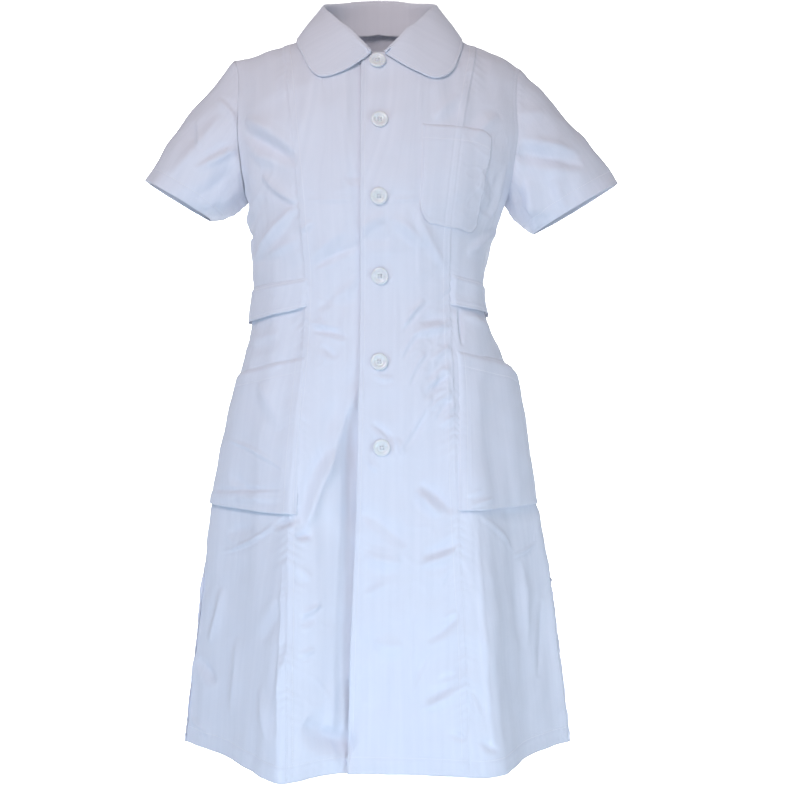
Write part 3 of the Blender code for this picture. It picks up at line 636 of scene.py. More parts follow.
FRONT_CREASES = (
    # The wearer's right chest, fanning out from the armhole
    Crease(-173, -122, -104, -174, 3, 10, 3.4),
    Crease(-173, -142, -102, -189, 3, 8, -2.9),
    Crease(-149, -200, -102, -239, -2, 5, 3.0),
    Crease(-181, -267, -149, -218, 2, 8, 2.2),
    Crease(-164, -307, -103, -242, 3, 7, 3.0),
    Crease(-152, -304, -98, -283, 0, 6, 1.5),
    Crease(-177, -273, -160, -269, 0, 4, -1.6),
    Crease(-166, -166, -128, -186, -2, 7, 1.4),
    Crease(-98, -275, -80, -262, 0, 4, 1.2),
    # The middle of the front
    Crease(-91, -236, -23, -238, 0, 2.6, 0.8),
    Crease(15, -238, 53, -237, 0, 2.6, 0.8),
    Crease(-21, -275, 11, -256, 2, 7, 1.7),
    Crease(20, -259, 62, -295, 4, 8, 2.3),
    Crease(49, -244, 88, -317, -3, 6, 1.8),
    Crease(-18, -283, 22, -285, -4, 8, -1.2),
    Crease(-86, -309, -40, -275, 2, 8, 1.5),
    Crease(-84, -321, -22, -294, 2, 4.5, -1.6),
    Crease(-40, -210, -18, -207, 0, 6, -1.0),
    Crease(56, -68, 55, -137, 0, 2.2, 0.5),
    Crease(-40, -82, -40, -160, 0, 2.2, 0.4),
    Crease(55, -280, 54, -330, 0, 2.2, 0.45),
    Crease(26, -345, 25, -440, 0, 2.2, 0.45),
    Crease(75, -131, 107, -97, 2, 8, 1.3),
    Crease(136, -195, 152, -218, 2, 5, -0.8),
    Crease(133, -239, 152, -248, 0, 5, -0.9),
    Crease(126, -214, 148, -232, 2, 5, 0.7),
    Crease(158, -120, 122, -160, -3, 9, 1.8),
    Crease(166, -190, 150, -250, 2, 7, 1.8),
    Crease(162, -262, 118, -300, 2, 7, 1.6),
    # The waist
    Crease(-83, -401, -34, -412, 3, 4, -1.5),
    Crease(-88, -393, -50, -400, 2, 4, 1.2),
    Crease(-72, -421, -50, -436, 0, 5, -1.6),
    Crease(-60, -363, -26, -344, 0, 8, 1.6),
    Crease(-80, -376, -52, -352, -2, 6, -1.0),
    Crease(-41, -350, -24, -331, 0, 5, 1.0),
    Crease(36, -395, 62, -362, 2, 4, 1.5),
    Crease(43, -408, 94, -396, 2, 5, 1.7),
    Crease(52, -391, 90, -384, 0, 5, -1.5),
    Crease(59, -372, 34, -405, -1, 2.8, -1.2),
    Crease(56, -405, 34, -440, -1, 2.8, -1.3),
    Crease(68, -431, 43, -474, -2, 2.8, -1.5),
    Crease(65, -504, 34, -554, 2, 2.8, -1.4),
    Crease(90, -455, 77, -466, -2, 2.6, -1.3),
    Crease(90, -463, 73, -478, -2, 2.6, -1.5),
    Crease(90, -472, 69, -491, -3, 3.2, -1.0),
    Crease(91, -482, 68, -500, -3, 3.4, -1.1),
    Crease(92, -491, 71, -509, -3, 2.6, -0.8),
    Crease(92, -501, 76, -515, -2, 2.6, -1.2),
    Crease(107, -373, 110, -420, 0, 3, -2.0),
    Crease(63, -466, 95, -437, 2, 6, -1.4),
    Crease(70, -440, 95, -420, 0, 4, 1.4),
    Crease(60, -491, 93, -457, 2, 6, -1.5),
    Crease(62, -478, 95, -449, 2, 4, 1.1),
    Crease(68, -503, 96, -480, 1, 6, 1.2),
    Crease(81, -504, 97, -491, 0, 4, -1.4),
    Crease(80, -524, 98, -512, 0, 4, 1.2),
    Crease(-5, -520, 20, -541, 2, 4, -2.0),
    Crease(24, -539, 33, -562, 2, 3.5, 1.4),
    Crease(-8, -566, 4, -580, -2, 3.5, 1.2),
    Crease(-2, -458, 22, -462, -4, 3.5, 1.2),
    # The long soft roll beside the lap
    Crease(-22, -470, -60, -590, -3, 9, 2.2),
    Crease(-50, -554, -86, -650, -2, 8, 4.6),
    Crease(-34, -500, -28, -660, 0, 13, -3.4),
    Crease(-100, -664, -80, -660, 2, 4.5, -3.2),
    # The skirt's front
    Crease(56, -596, 96, -631, 2, 8, -2.6),
    Crease(50, -606, 80, -636, 2, 7, 2.0),
    Crease(-17, -632, 38, -674, 4, 8, -1.9),
    Crease(-14, -685, 32, -694, -3, 9, 2.2),
    Crease(58, -687, 101, -668, -1, 7, -2.3),
    Crease(55, -698, 100, -680, -1, 6, 1.8),
    Crease(94, -702, 86, -724, 0, 3, -1.2),
    Crease(-94, -757, -68, -744, -2, 4, 1.7),
    Crease(-94, -770, -76, -762, 0, 4, -1.2),
    Crease(-95, -806, -77, -800, 0, 4, 1.5),
    Crease(-86, -884, -27, -926, -3, 14, -5.0),
    Crease(-62, -900, -27, -918, -2, 11, -2.8),
    Crease(-34, -840, -31, -950, 0, 11, -3.2),
    Crease(-30, -620, -27, -905, 0, 20, -3.0),
    Crease(-98, -700, -80, -716, 2, 6, 1.4),
    Crease(-1, -791, 34, -797, -3, 10, 2.0),
    Crease(61, -863, 101, -836, -2, 6, -1.8),
    Crease(56, -874, 98, -850, -2, 6, 1.6),
    Crease(78, -838, 100, -830, 0, 4, -1.5),
    Crease(61, -790, 100, -762, -3, 5, -1.6),
    Crease(45, -851, 67, -802, 2, 3, -0.9),
    Crease(84, -764, 100, -752, 0, 4, 1.2),
    Crease(90, -902, 112, -909, 0, 4, -1.5),
    Crease(49, -700, 46, -905, 0, 2.2, 0.45),
    Crease(128, -639, 147, -941, -3, 4, 1.2),
    Crease(-117, -700, -122, -944, 0, 3.5, 1.0),
    Crease(10, -720, -16, -735, 2, 4, 1.0),
    # The wearer's right hip, pocket and skirt side
    Crease(-193, -544, -112, -582, 5, 3, 1.2),
    Crease(-224, -613, -116, -604, 1, 2.8, -1.2),
    Crease(-224, -622, -116, -616, 1, 5, 0.9),
    Crease(-172, -411, -126, -405, 0, 8, 1.3),
    Crease(-150, -470, -120, -530, 3, 10, 1.6),
    Crease(-190, -590, -150, -612, 0, 7, -1.2),
    Crease(-207, -693, -116, -636, -7, 2.5, 1.6),
    Crease(-132, -650, -100, -640, 0, 5, -2.0),
    Crease(-200, -668, -160, -654, 0, 8, -1.6),
    Crease(-244, -843, -214, -865, 2, 8, -2.2),
    Crease(-205, -740, -226, -815, 4, 9, 2.4),
    Crease(-119, -740, -146, -796, 3, 10, -1.8),
    Crease(-133, -908, -144, -850, 2, 9, 2.0),
    Crease(-106, -787, -124, -861, 0, 7, 1.6),
    Crease(-256, -925, -222, -936, 2, 6, 1.6),
    Crease(-180, -800, -190, -900, 4, 12, 2.4),
    # The wearer's left hip, pocket and skirt side
    Crease(118, -626, 146, -618, 1, 3, 1.0),
    Crease(112, -612, 130, -606, 0, 3, 0.8),
    Crease(131, -637, 178, -691, 5, 2.5, 1.3),
    Crease(178, -695, 215, -682, -2, 2.5, 1.3),
    Crease(156, -634, 211, -640, -4, 7, -0.7),
    Crease(124, -455, 130, -560, 3, 12, 0.8),
    Crease(126, -776, 150, -832, 3, 10, 1.0),
    Crease(128, -909, 149, -924, 0, 5, -1.8),
    Crease(121, -849, 136, -881, 2, 4, -1.6),
    Crease(190, -702, 196, -820, 3, 12, 2.0),
    Crease(220, -760, 214, -860, 3, 9, -1.6),
    Crease(150, -395, 112, -380, 0, 6, 1.4),
)

BACK_CREASES = (
    Crease(-168, -128, -95, -178, 3, 11, 2.6),
    Crease(-170, -150, -100, -196, 3, 9, -2.2),
    Crease(168, -122, 98, -170, -3, 11, 2.6),
    Crease(168, -146, 104, -186, -3, 9, -2.0),
    Crease(-158, -206, -88, -238, 2, 6, 2.0),
    Crease(156, -200, 92, -236, -2, 6, 2.0),
    Crease(-60, -70, -90, -110, 2, 8, 1.4),
    Crease(56, -66, 88, -104, -2, 8, 1.4),
    Crease(-160, -290, -96, -262, 2, 8, 1.8),
    Crease(150, -284, 92, -258, -2, 8, 1.8),
    Crease(0, -70, 0, -900, 0, 2.4, 0.5),
    Crease(-118, -325, -58, -302, 2, 6, -2.0),
    Crease(-44, -326, 10, -308, 2, 5, 1.4),
    Crease(38, -322, 96, -302, -2, 6, 1.9),
    Crease(68, -330, 118, -314, -2, 5, -1.8),
    Crease(-112, -396, -60, -426, 3, 6, -2.2),
    Crease(-46, -396, -20, -442, 2, 6, 1.8),
    Crease(14, -398, 42, -452, -2, 5, -2.0),
    Crease(60, -394, 102, -430, -3, 7, 2.0),
    Crease(98, -398, 134, -424, -2, 5, -1.6),
    Crease(-90, -398, -118, -440, 2, 5, 1.6),
    Crease(-78, -520, -120, -700, 6, 14, 4.6),
    Crease(70, -540, 106, -720, -6, 13, -3.6),
    Crease(-22, -600, -6, -850, 4, 14, 2.8),
    Crease(150, -600, 176, -800, -4, 12, 3.2),
    Crease(-170, -640, -192, -830, 4, 12, -2.8),
    Crease(18, -650, 62, -692, 3, 5, 1.7),
    Crease(-64, -742, -18, -762, -2, 6, -1.7),
    Crease(88, -862, 142, -840, 2, 7, -2.0),
    Crease(-152, -880, -98, -902, 2, 8, 2.0),
    Crease(-210, -700, -160, -668, 3, 5, 1.8),
    Crease(206, -690, 160, -660, -3, 5, 1.8),
    Crease(120, -760, 128, -900, 2, 10, 1.8),
)

RIGHT_SLEEVE_CREASES = (
    Crease(0.205, 0.03, 0.250, 0.64, 0.010, 4, 2.6),
    Crease(0.185, 0.00, 0.235, 0.50, -0.008, 4, 2.0),
    Crease(0.265, 0.00, 0.400, 0.22, 0.010, 4, 1.6),
    Crease(0.400, 0.43, 0.290, 0.49, 0.008, 4, 1.4),
    Crease(0.150, 0.05, 0.170, 0.85, 0.010, 8, -1.8),
    Crease(0.090, 0.05, 0.110, 0.80, 0.006, 7, 0.9),
    Crease(0.120, 0.10, 0.080, 0.95, 0.004, 5, -1.2),
    Crease(0.330, 0.20, 0.300, 0.85, 0.010, 9, 1.6),
    Crease(0.700, 0.02, 0.760, 0.70, 0.010, 6, 2.2),
    Crease(0.800, 0.02, 0.830, 0.75, 0.008, 7, -2.6),
    Crease(0.900, 0.05, 0.880, 0.85, 0.006, 6, 2.2),
    Crease(0.620, 0.10, 0.660, 0.60, 0.010, 8, 1.5),
)

LEFT_SLEEVE_CREASES = (
    Crease(0.188, 0.00, 0.345, 0.74, 0.012, 8, -4.2),
    Crease(0.235, 0.04, 0.370, 0.66, 0.010, 6, 2.4),
    Crease(0.160, 0.30, 0.050, 1.00, 0.006, 6, 2.4),
    Crease(0.110, 0.05, 0.080, 0.90, 0.006, 5, -2.4),
    Crease(0.060, 0.10, 0.150, 0.90, 0.004, 5, 2.0),
    Crease(0.300, 0.00, 0.380, 0.26, 0.008, 8, 1.2),
    Crease(0.240, 0.60, 0.210, 0.98, 0.006, 6, 1.4),
    Crease(0.700, 0.02, 0.640, 0.70, 0.010, 6, 2.2),
    Crease(0.800, 0.02, 0.840, 0.80, 0.008, 7, -2.8),
    Crease(0.900, 0.05, 0.900, 0.90, 0.006, 6, 2.4),
)


# Cloth


class Seam(Enum):
    """What a panel's edge is joined to."""

    FREE = "free"
    PRINCESS = "princess"
    TOPSTITCHED = "topstitched"
    SIDE = "side"
    LAP = "lap"


class Held(Enum):
    """How a sheet of cloth is held."""

    HUNG = "hung"
    LAID = "laid"
    FOLDED = "folded"


@dataclass(frozen=True)
class Ripple:
    """Slow uneven waves of the cloth, summed from waves in all directions."""

    seed: int
    height: float
    shortest: float
    longest: float
    upright: float = 1.0
    waves: int = 16

    def at(self, points: np.ndarray) -> np.ndarray:
        """The height of the waves at each point.

        Args:
            points: places in space.

        Returns:
            How far the cloth stands out at each.
        """
        chance = np.random.default_rng(self.seed)
        total = np.zeros(points.shape[:-1])
        for _ in range(self.waves):
            way = unit(chance.normal(size=3)) * (1, 1, 1 / self.upright)
            length = self.shortest * (self.longest / self.shortest) ** chance.random()
            total += np.sin(points @ way * FULL_TURN / length + FULL_TURN * chance.random())
        return self.height * total / math.sqrt(self.waves / 2)


@dataclass(frozen=True)
class Crumple:
    """A patch of fine sharp creases round one place, where the cloth is pulled in."""

    seed: int
    middle: tuple[float, float, float]
    reach: tuple[float, float, float]
    height: float
    shortest: float
    longest: float
    upright: float = 1.0
    sharpness: float = 3.0
    level: float = 0.35

    def at(self, points: np.ndarray) -> np.ndarray:
        """The height of the creases at each point."""
        away = (points - np.array(self.middle)) / np.array(self.reach)
        near = np.exp(-(away**2).sum(axis=-1))
        field_of = Ripple(self.seed, 1.0, self.shortest, self.longest, self.upright)
        ridge = np.exp(-self.sharpness * np.abs(field_of.at(points)))
        return self.height * near * (ridge - self.level)


@dataclass(frozen=True)
class SeamShape:
    """The relief of a sewn edge: groove, pressed band, stitched trench and puckers."""

    groove: float = 0.00035
    groove_width: float = 0.0012
    band: float = 0.00045
    band_end: float = 0.0085
    band_fade: float = 0.0018
    trench: float = 0.00034
    trench_at: float = 0.0062
    trench_width: float = 0.0009
    pucker: float = 0.00065
    pucker_length: float = 0.0125
    pucker_reach: float = 0.016
    pucker_slant: float = 0.55
    wander: float = 1.4
    wander_least: float = 0.5
    wander_most: float = 1.4
    wander_lengths: tuple[float, ...] = (0.041, 0.067, 0.123)
    start_most: float = 6.0
    swell: float = 0.45
    swell_length: float = 0.157
    calm: float = 0.6
    calm_from: float = 0.62
    calm_over: float = 0.20
    seed: int = 3

    def relief(self, away: np.ndarray, along: np.ndarray) -> np.ndarray:
        """How far the cloth stands out beside the seam.

        Args:
            away: distance from the seam.
            along: distance along the seam.

        Returns:
            The offset at each place.
        """
        band = self.band * smooth_step((self.band_end - away) / self.band_fade)
        groove = self.groove * bell(away, self.groove_width)
        trench = self.trench * bell(away - self.trench_at, self.trench_width)
        return band - groove - trench + self.puckers(away, along)

    def puckers(self, away: np.ndarray, along: np.ndarray) -> np.ndarray:
        """The short gathers that the stitching pulls into the cloth."""
        chance = np.random.default_rng(self.seed)
        place = along + self.pucker_slant * away
        wander = sum(
            chance.uniform(self.wander_least, self.wander_most)
            * np.sin(place * FULL_TURN / length + chance.uniform(0, self.start_most))
            for length in self.wander_lengths
        )
        phase = chance.uniform(0, self.start_most)
        swell = 1 - self.swell + self.swell * np.sin(place * FULL_TURN / self.swell_length + phase)
        swell = swell * (1 - self.calm * smooth_step((along - self.calm_from) / self.calm_over))
        wave = np.sin(place * FULL_TURN / self.pucker_length + self.wander * wander)
        fade = np.exp(-((away / self.pucker_reach) ** 2))
        return self.pucker * swell * wave * fade


PRINCESS_SHAPE = SeamShape(groove=-0.0007, groove_width=0.0016, trench=0.0, band=0.0)
TOPSTITCHED_SHAPE = SeamShape(
    groove=-0.0003, band=0.0007, band_end=0.0105, trench=0.0005, trench_at=0.0084
)
SIDE_SHAPE = SeamShape(pucker=0.0004, trench=0.0, seed=11)
ARMHOLE_SHAPE = SeamShape(
    groove=-0.0003, trench_at=0.0050, band_end=0.0065, pucker=0.0004, pucker_reach=0.012, seed=5
)
LAP_SHAPE = SeamShape(
    groove=-0.0003, groove_width=0.0010, trench_at=0.0060, band=0.0003, pucker=0.00022, seed=8
)
SHOULDER_SHAPE = SeamShape(groove=0.0003, trench_at=0.0050, pucker=0.0002, seed=9)
SEAM_SHAPES = {
    Seam.PRINCESS: PRINCESS_SHAPE,
    Seam.TOPSTITCHED: TOPSTITCHED_SHAPE,
    Seam.LAP: LAP_SHAPE,
}

CLOTH_WALL = 0.0007
FOLD_OFF = 0.0017
WELD = 1e-6
HEM_TRENCH = 0.00035
HEM_TRENCH_WIDTH = 0.0009
ROPING_SLANT = 0.7
ROPING_LENGTH = 0.0095
ROPING_FADE = 0.004


def mesh_of(shape: bmesh.types.BMesh, name: str) -> bpy.types.Mesh:
    """Turns a shape into a mesh and frees the shape."""
    mesh = bpy.data.meshes.new(name)
    shape.to_mesh(mesh)
    shape.free()
    return mesh


def add_object(name: str, data: bpy.types.ID) -> bpy.types.Object:
    """Adds an object with this data to the scene."""
    made = bpy.data.objects.new(name, data)
    bpy.context.scene.collection.objects.link(made)
    return made


def lengths_along(points: np.ndarray, axis: int) -> np.ndarray:
    """Distance walked along the rows or the columns of a grid of points.

    Args:
        points: rows by columns by 3.
        axis: 1 to walk along each row, 0 to walk up each column.

    Returns:
        The distance from the first point, for each point.
    """
    steps = np.linalg.norm(np.diff(points, axis=axis), axis=-1)
    walked = np.cumsum(steps, axis=axis)
    pad = [(0, 0), (0, 0)]
    pad[axis] = (1, 0)
    return np.pad(walked, pad)


def grid_area(points: np.ndarray) -> float:
    """The area of a grid of points."""
    one = points[1:, 1:] - points[:-1, :-1]
    other = points[1:, :-1] - points[:-1, 1:]
    return float(np.linalg.norm(np.cross(one, other), axis=-1).sum() / 2)


def edge_shares(length: float, spacing: float, fine: float, margin: float) -> np.ndarray:
    """Shares from 0 to 1 that are close together near both ends.

    Args:
        length: the real length they divide.
        spacing: the spacing in the middle.
        fine: the spacing near the ends.
        margin: how far the fine spacing reaches.

    Returns:
        The rising shares.
    """
    near = np.arange(0, margin, fine)
    middle = np.linspace(margin, length - margin, max(2, round((length - 2 * margin) / spacing)))
    return np.concatenate([near, middle, length - near[::-1]]) / length


@dataclass
class ClothSheet:
    """A grid of cloth that becomes one object."""

    name: str
    points: np.ndarray
    ring: bool = False
    wall: float = CLOTH_WALL

    @property
    def flat(self) -> tuple[float, float]:
        """Width and length of the smallest rectangle it is cut from."""
        width = lengths_along(self.points, 1)[:, -1].max()
        length = lengths_along(self.points, 0)[-1].max()
        return float(width), float(length)

    @property
    def area(self) -> float:
        """The cut's flat area."""
        return grid_area(self.points)

    def build(self) -> bpy.types.Object:
        """Makes the object, with a UV map in metres and its thickness turned inwards."""
        rows, columns = self.points.shape[:2]
        grid = bmesh.new()
        bmesh.ops.create_grid(grid, x_segments=columns - 1, y_segments=rows - 1, size=1)
        mesh = mesh_of(grid, self.name)
        mesh.vertices.foreach_set("co", self.points.astype(np.float32).ravel())
        self.lay_out(mesh)
        if self.ring:
            closed = bmesh.new()
            closed.from_mesh(mesh)
            bmesh.ops.remove_doubles(closed, verts=closed.verts, dist=WELD)
            closed.to_mesh(mesh)
            closed.free()
        mesh.shade_smooth()
        made = add_object(self.name, mesh)
        thick = made.modifiers.new("wall", "SOLIDIFY")
        thick.thickness = self.wall
        thick.offset = -1
        return made

    def lay_out(self, mesh: bpy.types.Mesh) -> None:
        """Gives the mesh a UV map that measures metres across and up the cloth."""
        across = lengths_along(self.points, 1)
        middle = across.shape[1] // 2
        across = across - across[:, middle : middle + 1]
        up = lengths_along(self.points, 0)
        flat = np.stack([across, up], -1).reshape(-1, 2)
        corners = np.empty(len(mesh.loops), np.int32)
        mesh.loops.foreach_get("vertex_index", corners)
        layer = mesh.uv_layers.new(name="cloth")
        layer.data.foreach_set("uv", flat[corners].astype(np.float32).ravel())


def line_across(points: np.ndarray, away: float, from_end: bool = False) -> np.ndarray:
    """Points this far from the first or last column, one on each row.

    Args:
        points: rows by columns by 3.
        away: the distance from the edge.
        from_end: whether it is measured from the last column.

    Returns:
        One point on each row.
    """
    if from_end:
        points = points[:, ::-1]
    walked = lengths_along(points, 1)
    return np.array(
        [[np.interp(away, walked[r], points[r, :, k]) for k in range(3)] for r in range(len(points))]
    )


def line_up(points: np.ndarray, away: float, from_top: bool = False) -> np.ndarray:
    """Points this far from the first or last row, one on each column."""
    return line_across(points.transpose(1, 0, 2), away, from_top)


@dataclass
class StitchLine:
    """A row of stitches along a line on the cloth."""

    line: np.ndarray
    out: np.ndarray
    pitch: float = 0.0030
    length: float = 0.0023
    width: float = 0.00075
    proud: float = 0.00020
    flatness: float = 2.4

    def sew(self, mesh: bmesh.types.BMesh) -> None:
        """Adds the stitches to a mesh."""
        walked = np.concatenate(
            [[0], np.cumsum(np.linalg.norm(np.diff(self.line, axis=0), axis=1))]
        )
        for start in np.arange(self.pitch, walked[-1] - self.pitch, self.pitch):
            ends = [
                Vector([np.interp(start + step, walked, self.line[:, k]) for k in range(3)])
                for step in (0, self.length)
            ]
            out = Vector([np.interp(start, walked, self.out[:, k]) for k in range(3)])
            along = (ends[1] - ends[0]).normalized()
            side = out.cross(along).normalized()
            out = along.cross(side)
            middle = (ends[0] + ends[1]) / 2 + out * self.proud
            turned = Matrix((along, side, out)).transposed().to_4x4()
            size = Matrix.Diagonal((self.length / 2, self.width / 2, self.width / self.flatness, 1))
            bmesh.ops.create_icosphere(
                mesh, subdivisions=1, radius=1, matrix=Matrix.Translation(middle) @ turned @ size
            )


# Finishes


def new_material(name: str, values: dict) -> tuple[bpy.types.Material, bpy.types.Node]:
    """Makes a material and sets constants on its shader's sockets."""
    made = bpy.data.materials.new(name)
    made.use_nodes = True
    shader = made.node_tree.nodes["Principled BSDF"]
    for socket, value in values.items():
        shader.inputs[socket].default_value = value
    return made, shader


def add_node(
    made: bpy.types.Material, kind: str, values: dict, sources: dict, **settings: str
) -> bpy.types.Node:
    """Adds a shader node to a material.

    Args:
        made: the material.
        kind: the node's type, without its ShaderNode start.
        values: the constant of each socket that has one.
        sources: the output that each linked socket reads.
        settings: the node's own settings.

    Returns:
        The node.
    """
    node = made.node_tree.nodes.new(f"ShaderNode{kind}")
    for setting, value in settings.items():
        setattr(node, setting, value)
    for socket, value in values.items():
        node.inputs[socket].default_value = value
    for socket, source in sources.items():
        made.node_tree.links.new(source, node.inputs[socket])
    return node


def add_colour(
    made: bpy.types.Material, shader: bpy.types.Node, share: bpy.types.Node, colours: tuple
) -> None:
    """Gives the shader a mix of two colours, by the share that a noise node gives."""
    ends = {"A": (*colours[0], 1), "B": (*colours[1], 1)}
    mix = add_node(made, "Mix", ends, {"Factor": share.outputs["Fac"]}, data_type="RGBA")
    made.node_tree.links.new(mix.outputs["Result"], shader.inputs["Base Color"])


@dataclass(frozen=True)
class ClothFinish:
    """White poly-cotton: fine plain weave, faint slubs, a little sheen, and streaks running up its colour
    that are painted light and shade of pressed folds, with some uneven tone.
    """

    name: str = "white_poly_cotton"
    colour: tuple[float, float, float] = (0.83, 0.85, 0.93)
    # painted shade: the darker end of the colour streaks, standing in for the shade of pressed folds
    painted_fold_shade: tuple[float, float, float] = (0.74, 0.765, 0.85)
    # stretch of the streaks of painted light and shade: short across the cloth, long up it
    painted_streak_stretch: tuple[float, float, float] = (140.0, 5.0, 1.0)
    roughness: float = 0.72
    sheen: float = 0.12
    thread: float = 0.00062
    weave_depth: float = 0.00006
    slub_depth: float = 0.00012
    sheen_roughness: float = 0.45
    shine: float = 0.28
    weave_strength: float = 0.5
    slub_strength: float = 0.35
    slubs: tuple = ((160.0, 1500.0, 1.0), (1500.0, 160.0, 1.0))

    def material(self) -> bpy.types.Material:
        """Builds the cloth's material."""
        constants = {
            "Roughness": self.roughness,
            "Sheen Weight": self.sheen,
            "Sheen Roughness": self.sheen_roughness,
            "Specular IOR Level": self.shine,
        }
        made, shader = new_material(self.name, constants)
        places = add_node(made, "TexCoord", {}, {}).outputs["UV"]
        split = add_node(made, "SeparateXYZ", {}, {0: places})
        waves = {}
        for index, axis in enumerate(("X", "Y")):
            scale = {1: math.pi / self.thread}
            turned = add_node(made, "Math", scale, {0: split.outputs[axis]}, operation="MULTIPLY")
            wave = add_node(made, "Math", {}, {0: turned.outputs[0]}, operation="SINE")
            waves[index] = wave.outputs[0]
        weave = add_node(made, "Math", {}, waves, operation="MULTIPLY")
        depth = {"Strength": self.weave_strength, "Distance": self.weave_depth}
        bump = add_node(made, "Bump", depth, {"Height": weave.outputs[0]})
        depth = {"Strength": self.slub_strength, "Distance": self.slub_depth}
        for stretch in self.slubs:
            slub = self.noise(made, places, stretch, 2.0)
            heights = {"Height": slub.outputs["Fac"], "Normal": bump.outputs[0]}
            bump = add_node(made, "Bump", depth, heights)
        made.node_tree.links.new(bump.outputs[0], shader.inputs["Normal"])
        # Streaks in the colour: painted light and shade of pressed folds running up the cloth, with some
        # uneven tone
        cloud = self.noise(made, places, self.painted_streak_stretch, 3.0)
        add_colour(made, shader, cloud, (self.painted_fold_shade, self.colour))
        return made

    def noise(
        self, made: bpy.types.Material, places: bpy.types.NodeSocket, stretch: tuple, detail: float
    ) -> bpy.types.Node:
        """Adds a noise that is stretched along the cloth."""
        mapping = add_node(made, "Mapping", {"Scale": stretch}, {"Vector": places})
        values = {"Scale": 1.0, "Detail": detail}
        return add_node(made, "TexNoise", values, {"Vector": mapping.outputs[0]})


@dataclass(frozen=True)
class ThreadFinish:
    """Smooth white sewing thread."""

    name: str = "white_thread"
    colour: tuple[float, float, float] = (0.93, 0.94, 0.98)
    roughness: float = 0.55
    twist: float = 2600.0
    twist_depth: float = 0.0001
    twist_strength: float = 0.4
    sheen: float = 0.2

    def material(self) -> bpy.types.Material:
        """Builds the thread's material."""
        constants = {
            "Base Color": (*self.colour, 1),
            "Roughness": self.roughness,
            "Sheen Weight": self.sheen,
        }
        made, shader = new_material(self.name, constants)
        places = add_node(made, "TexCoord", {}, {}).outputs["Object"]
        twist = add_node(made, "TexNoise", {"Scale": self.twist}, {"Vector": places})
        depth = {"Strength": self.twist_strength, "Distance": self.twist_depth}
        bump = add_node(made, "Bump", depth, {"Height": twist.outputs["Fac"]})
        made.node_tree.links.new(bump.outputs[0], shader.inputs["Normal"])
        return made


@dataclass(frozen=True)
class ButtonFinish:
    """Glossy white button plastic with a faint pearl cloud."""

    name: str = "pearly_plastic"
    light: tuple[float, float, float] = (0.90, 0.92, 0.92)
    dark: tuple[float, float, float] = (0.76, 0.79, 0.80)
    roughness: float = 0.22

    def material(self) -> bpy.types.Material:
        """Builds the button's material."""
        constants = {
            "Roughness": self.roughness,
            "Coat Weight": 0.3,
            "Coat Roughness": 0.12,
            "Subsurface Weight": 0.08,
            "Subsurface Scale": 0.002,
        }
        made, shader = new_material(self.name, constants)
        places = add_node(made, "TexCoord", {}, {}).outputs["Object"]
        pearl = {"Scale": 210.0, "Detail": 3.0, "Distortion": 1.2}
        cloud = add_node(made, "TexNoise", pearl, {"Vector": places})
        add_colour(made, shader, cloud, (self.dark, self.light))
        return made


@dataclass(frozen=True)
class StageFinish:
    """Plain matt white of the studio's floor and wall."""

    name: str = "studio_white"
    colour: tuple[float, float, float] = (0.90, 0.90, 0.90)
    roughness: float = 0.9

    def material(self) -> bpy.types.Material:
        """Builds the stage's material."""
        constants = {"Base Color": (*self.colour, 1), "Roughness": self.roughness}
        return new_material(self.name, constants)[0]


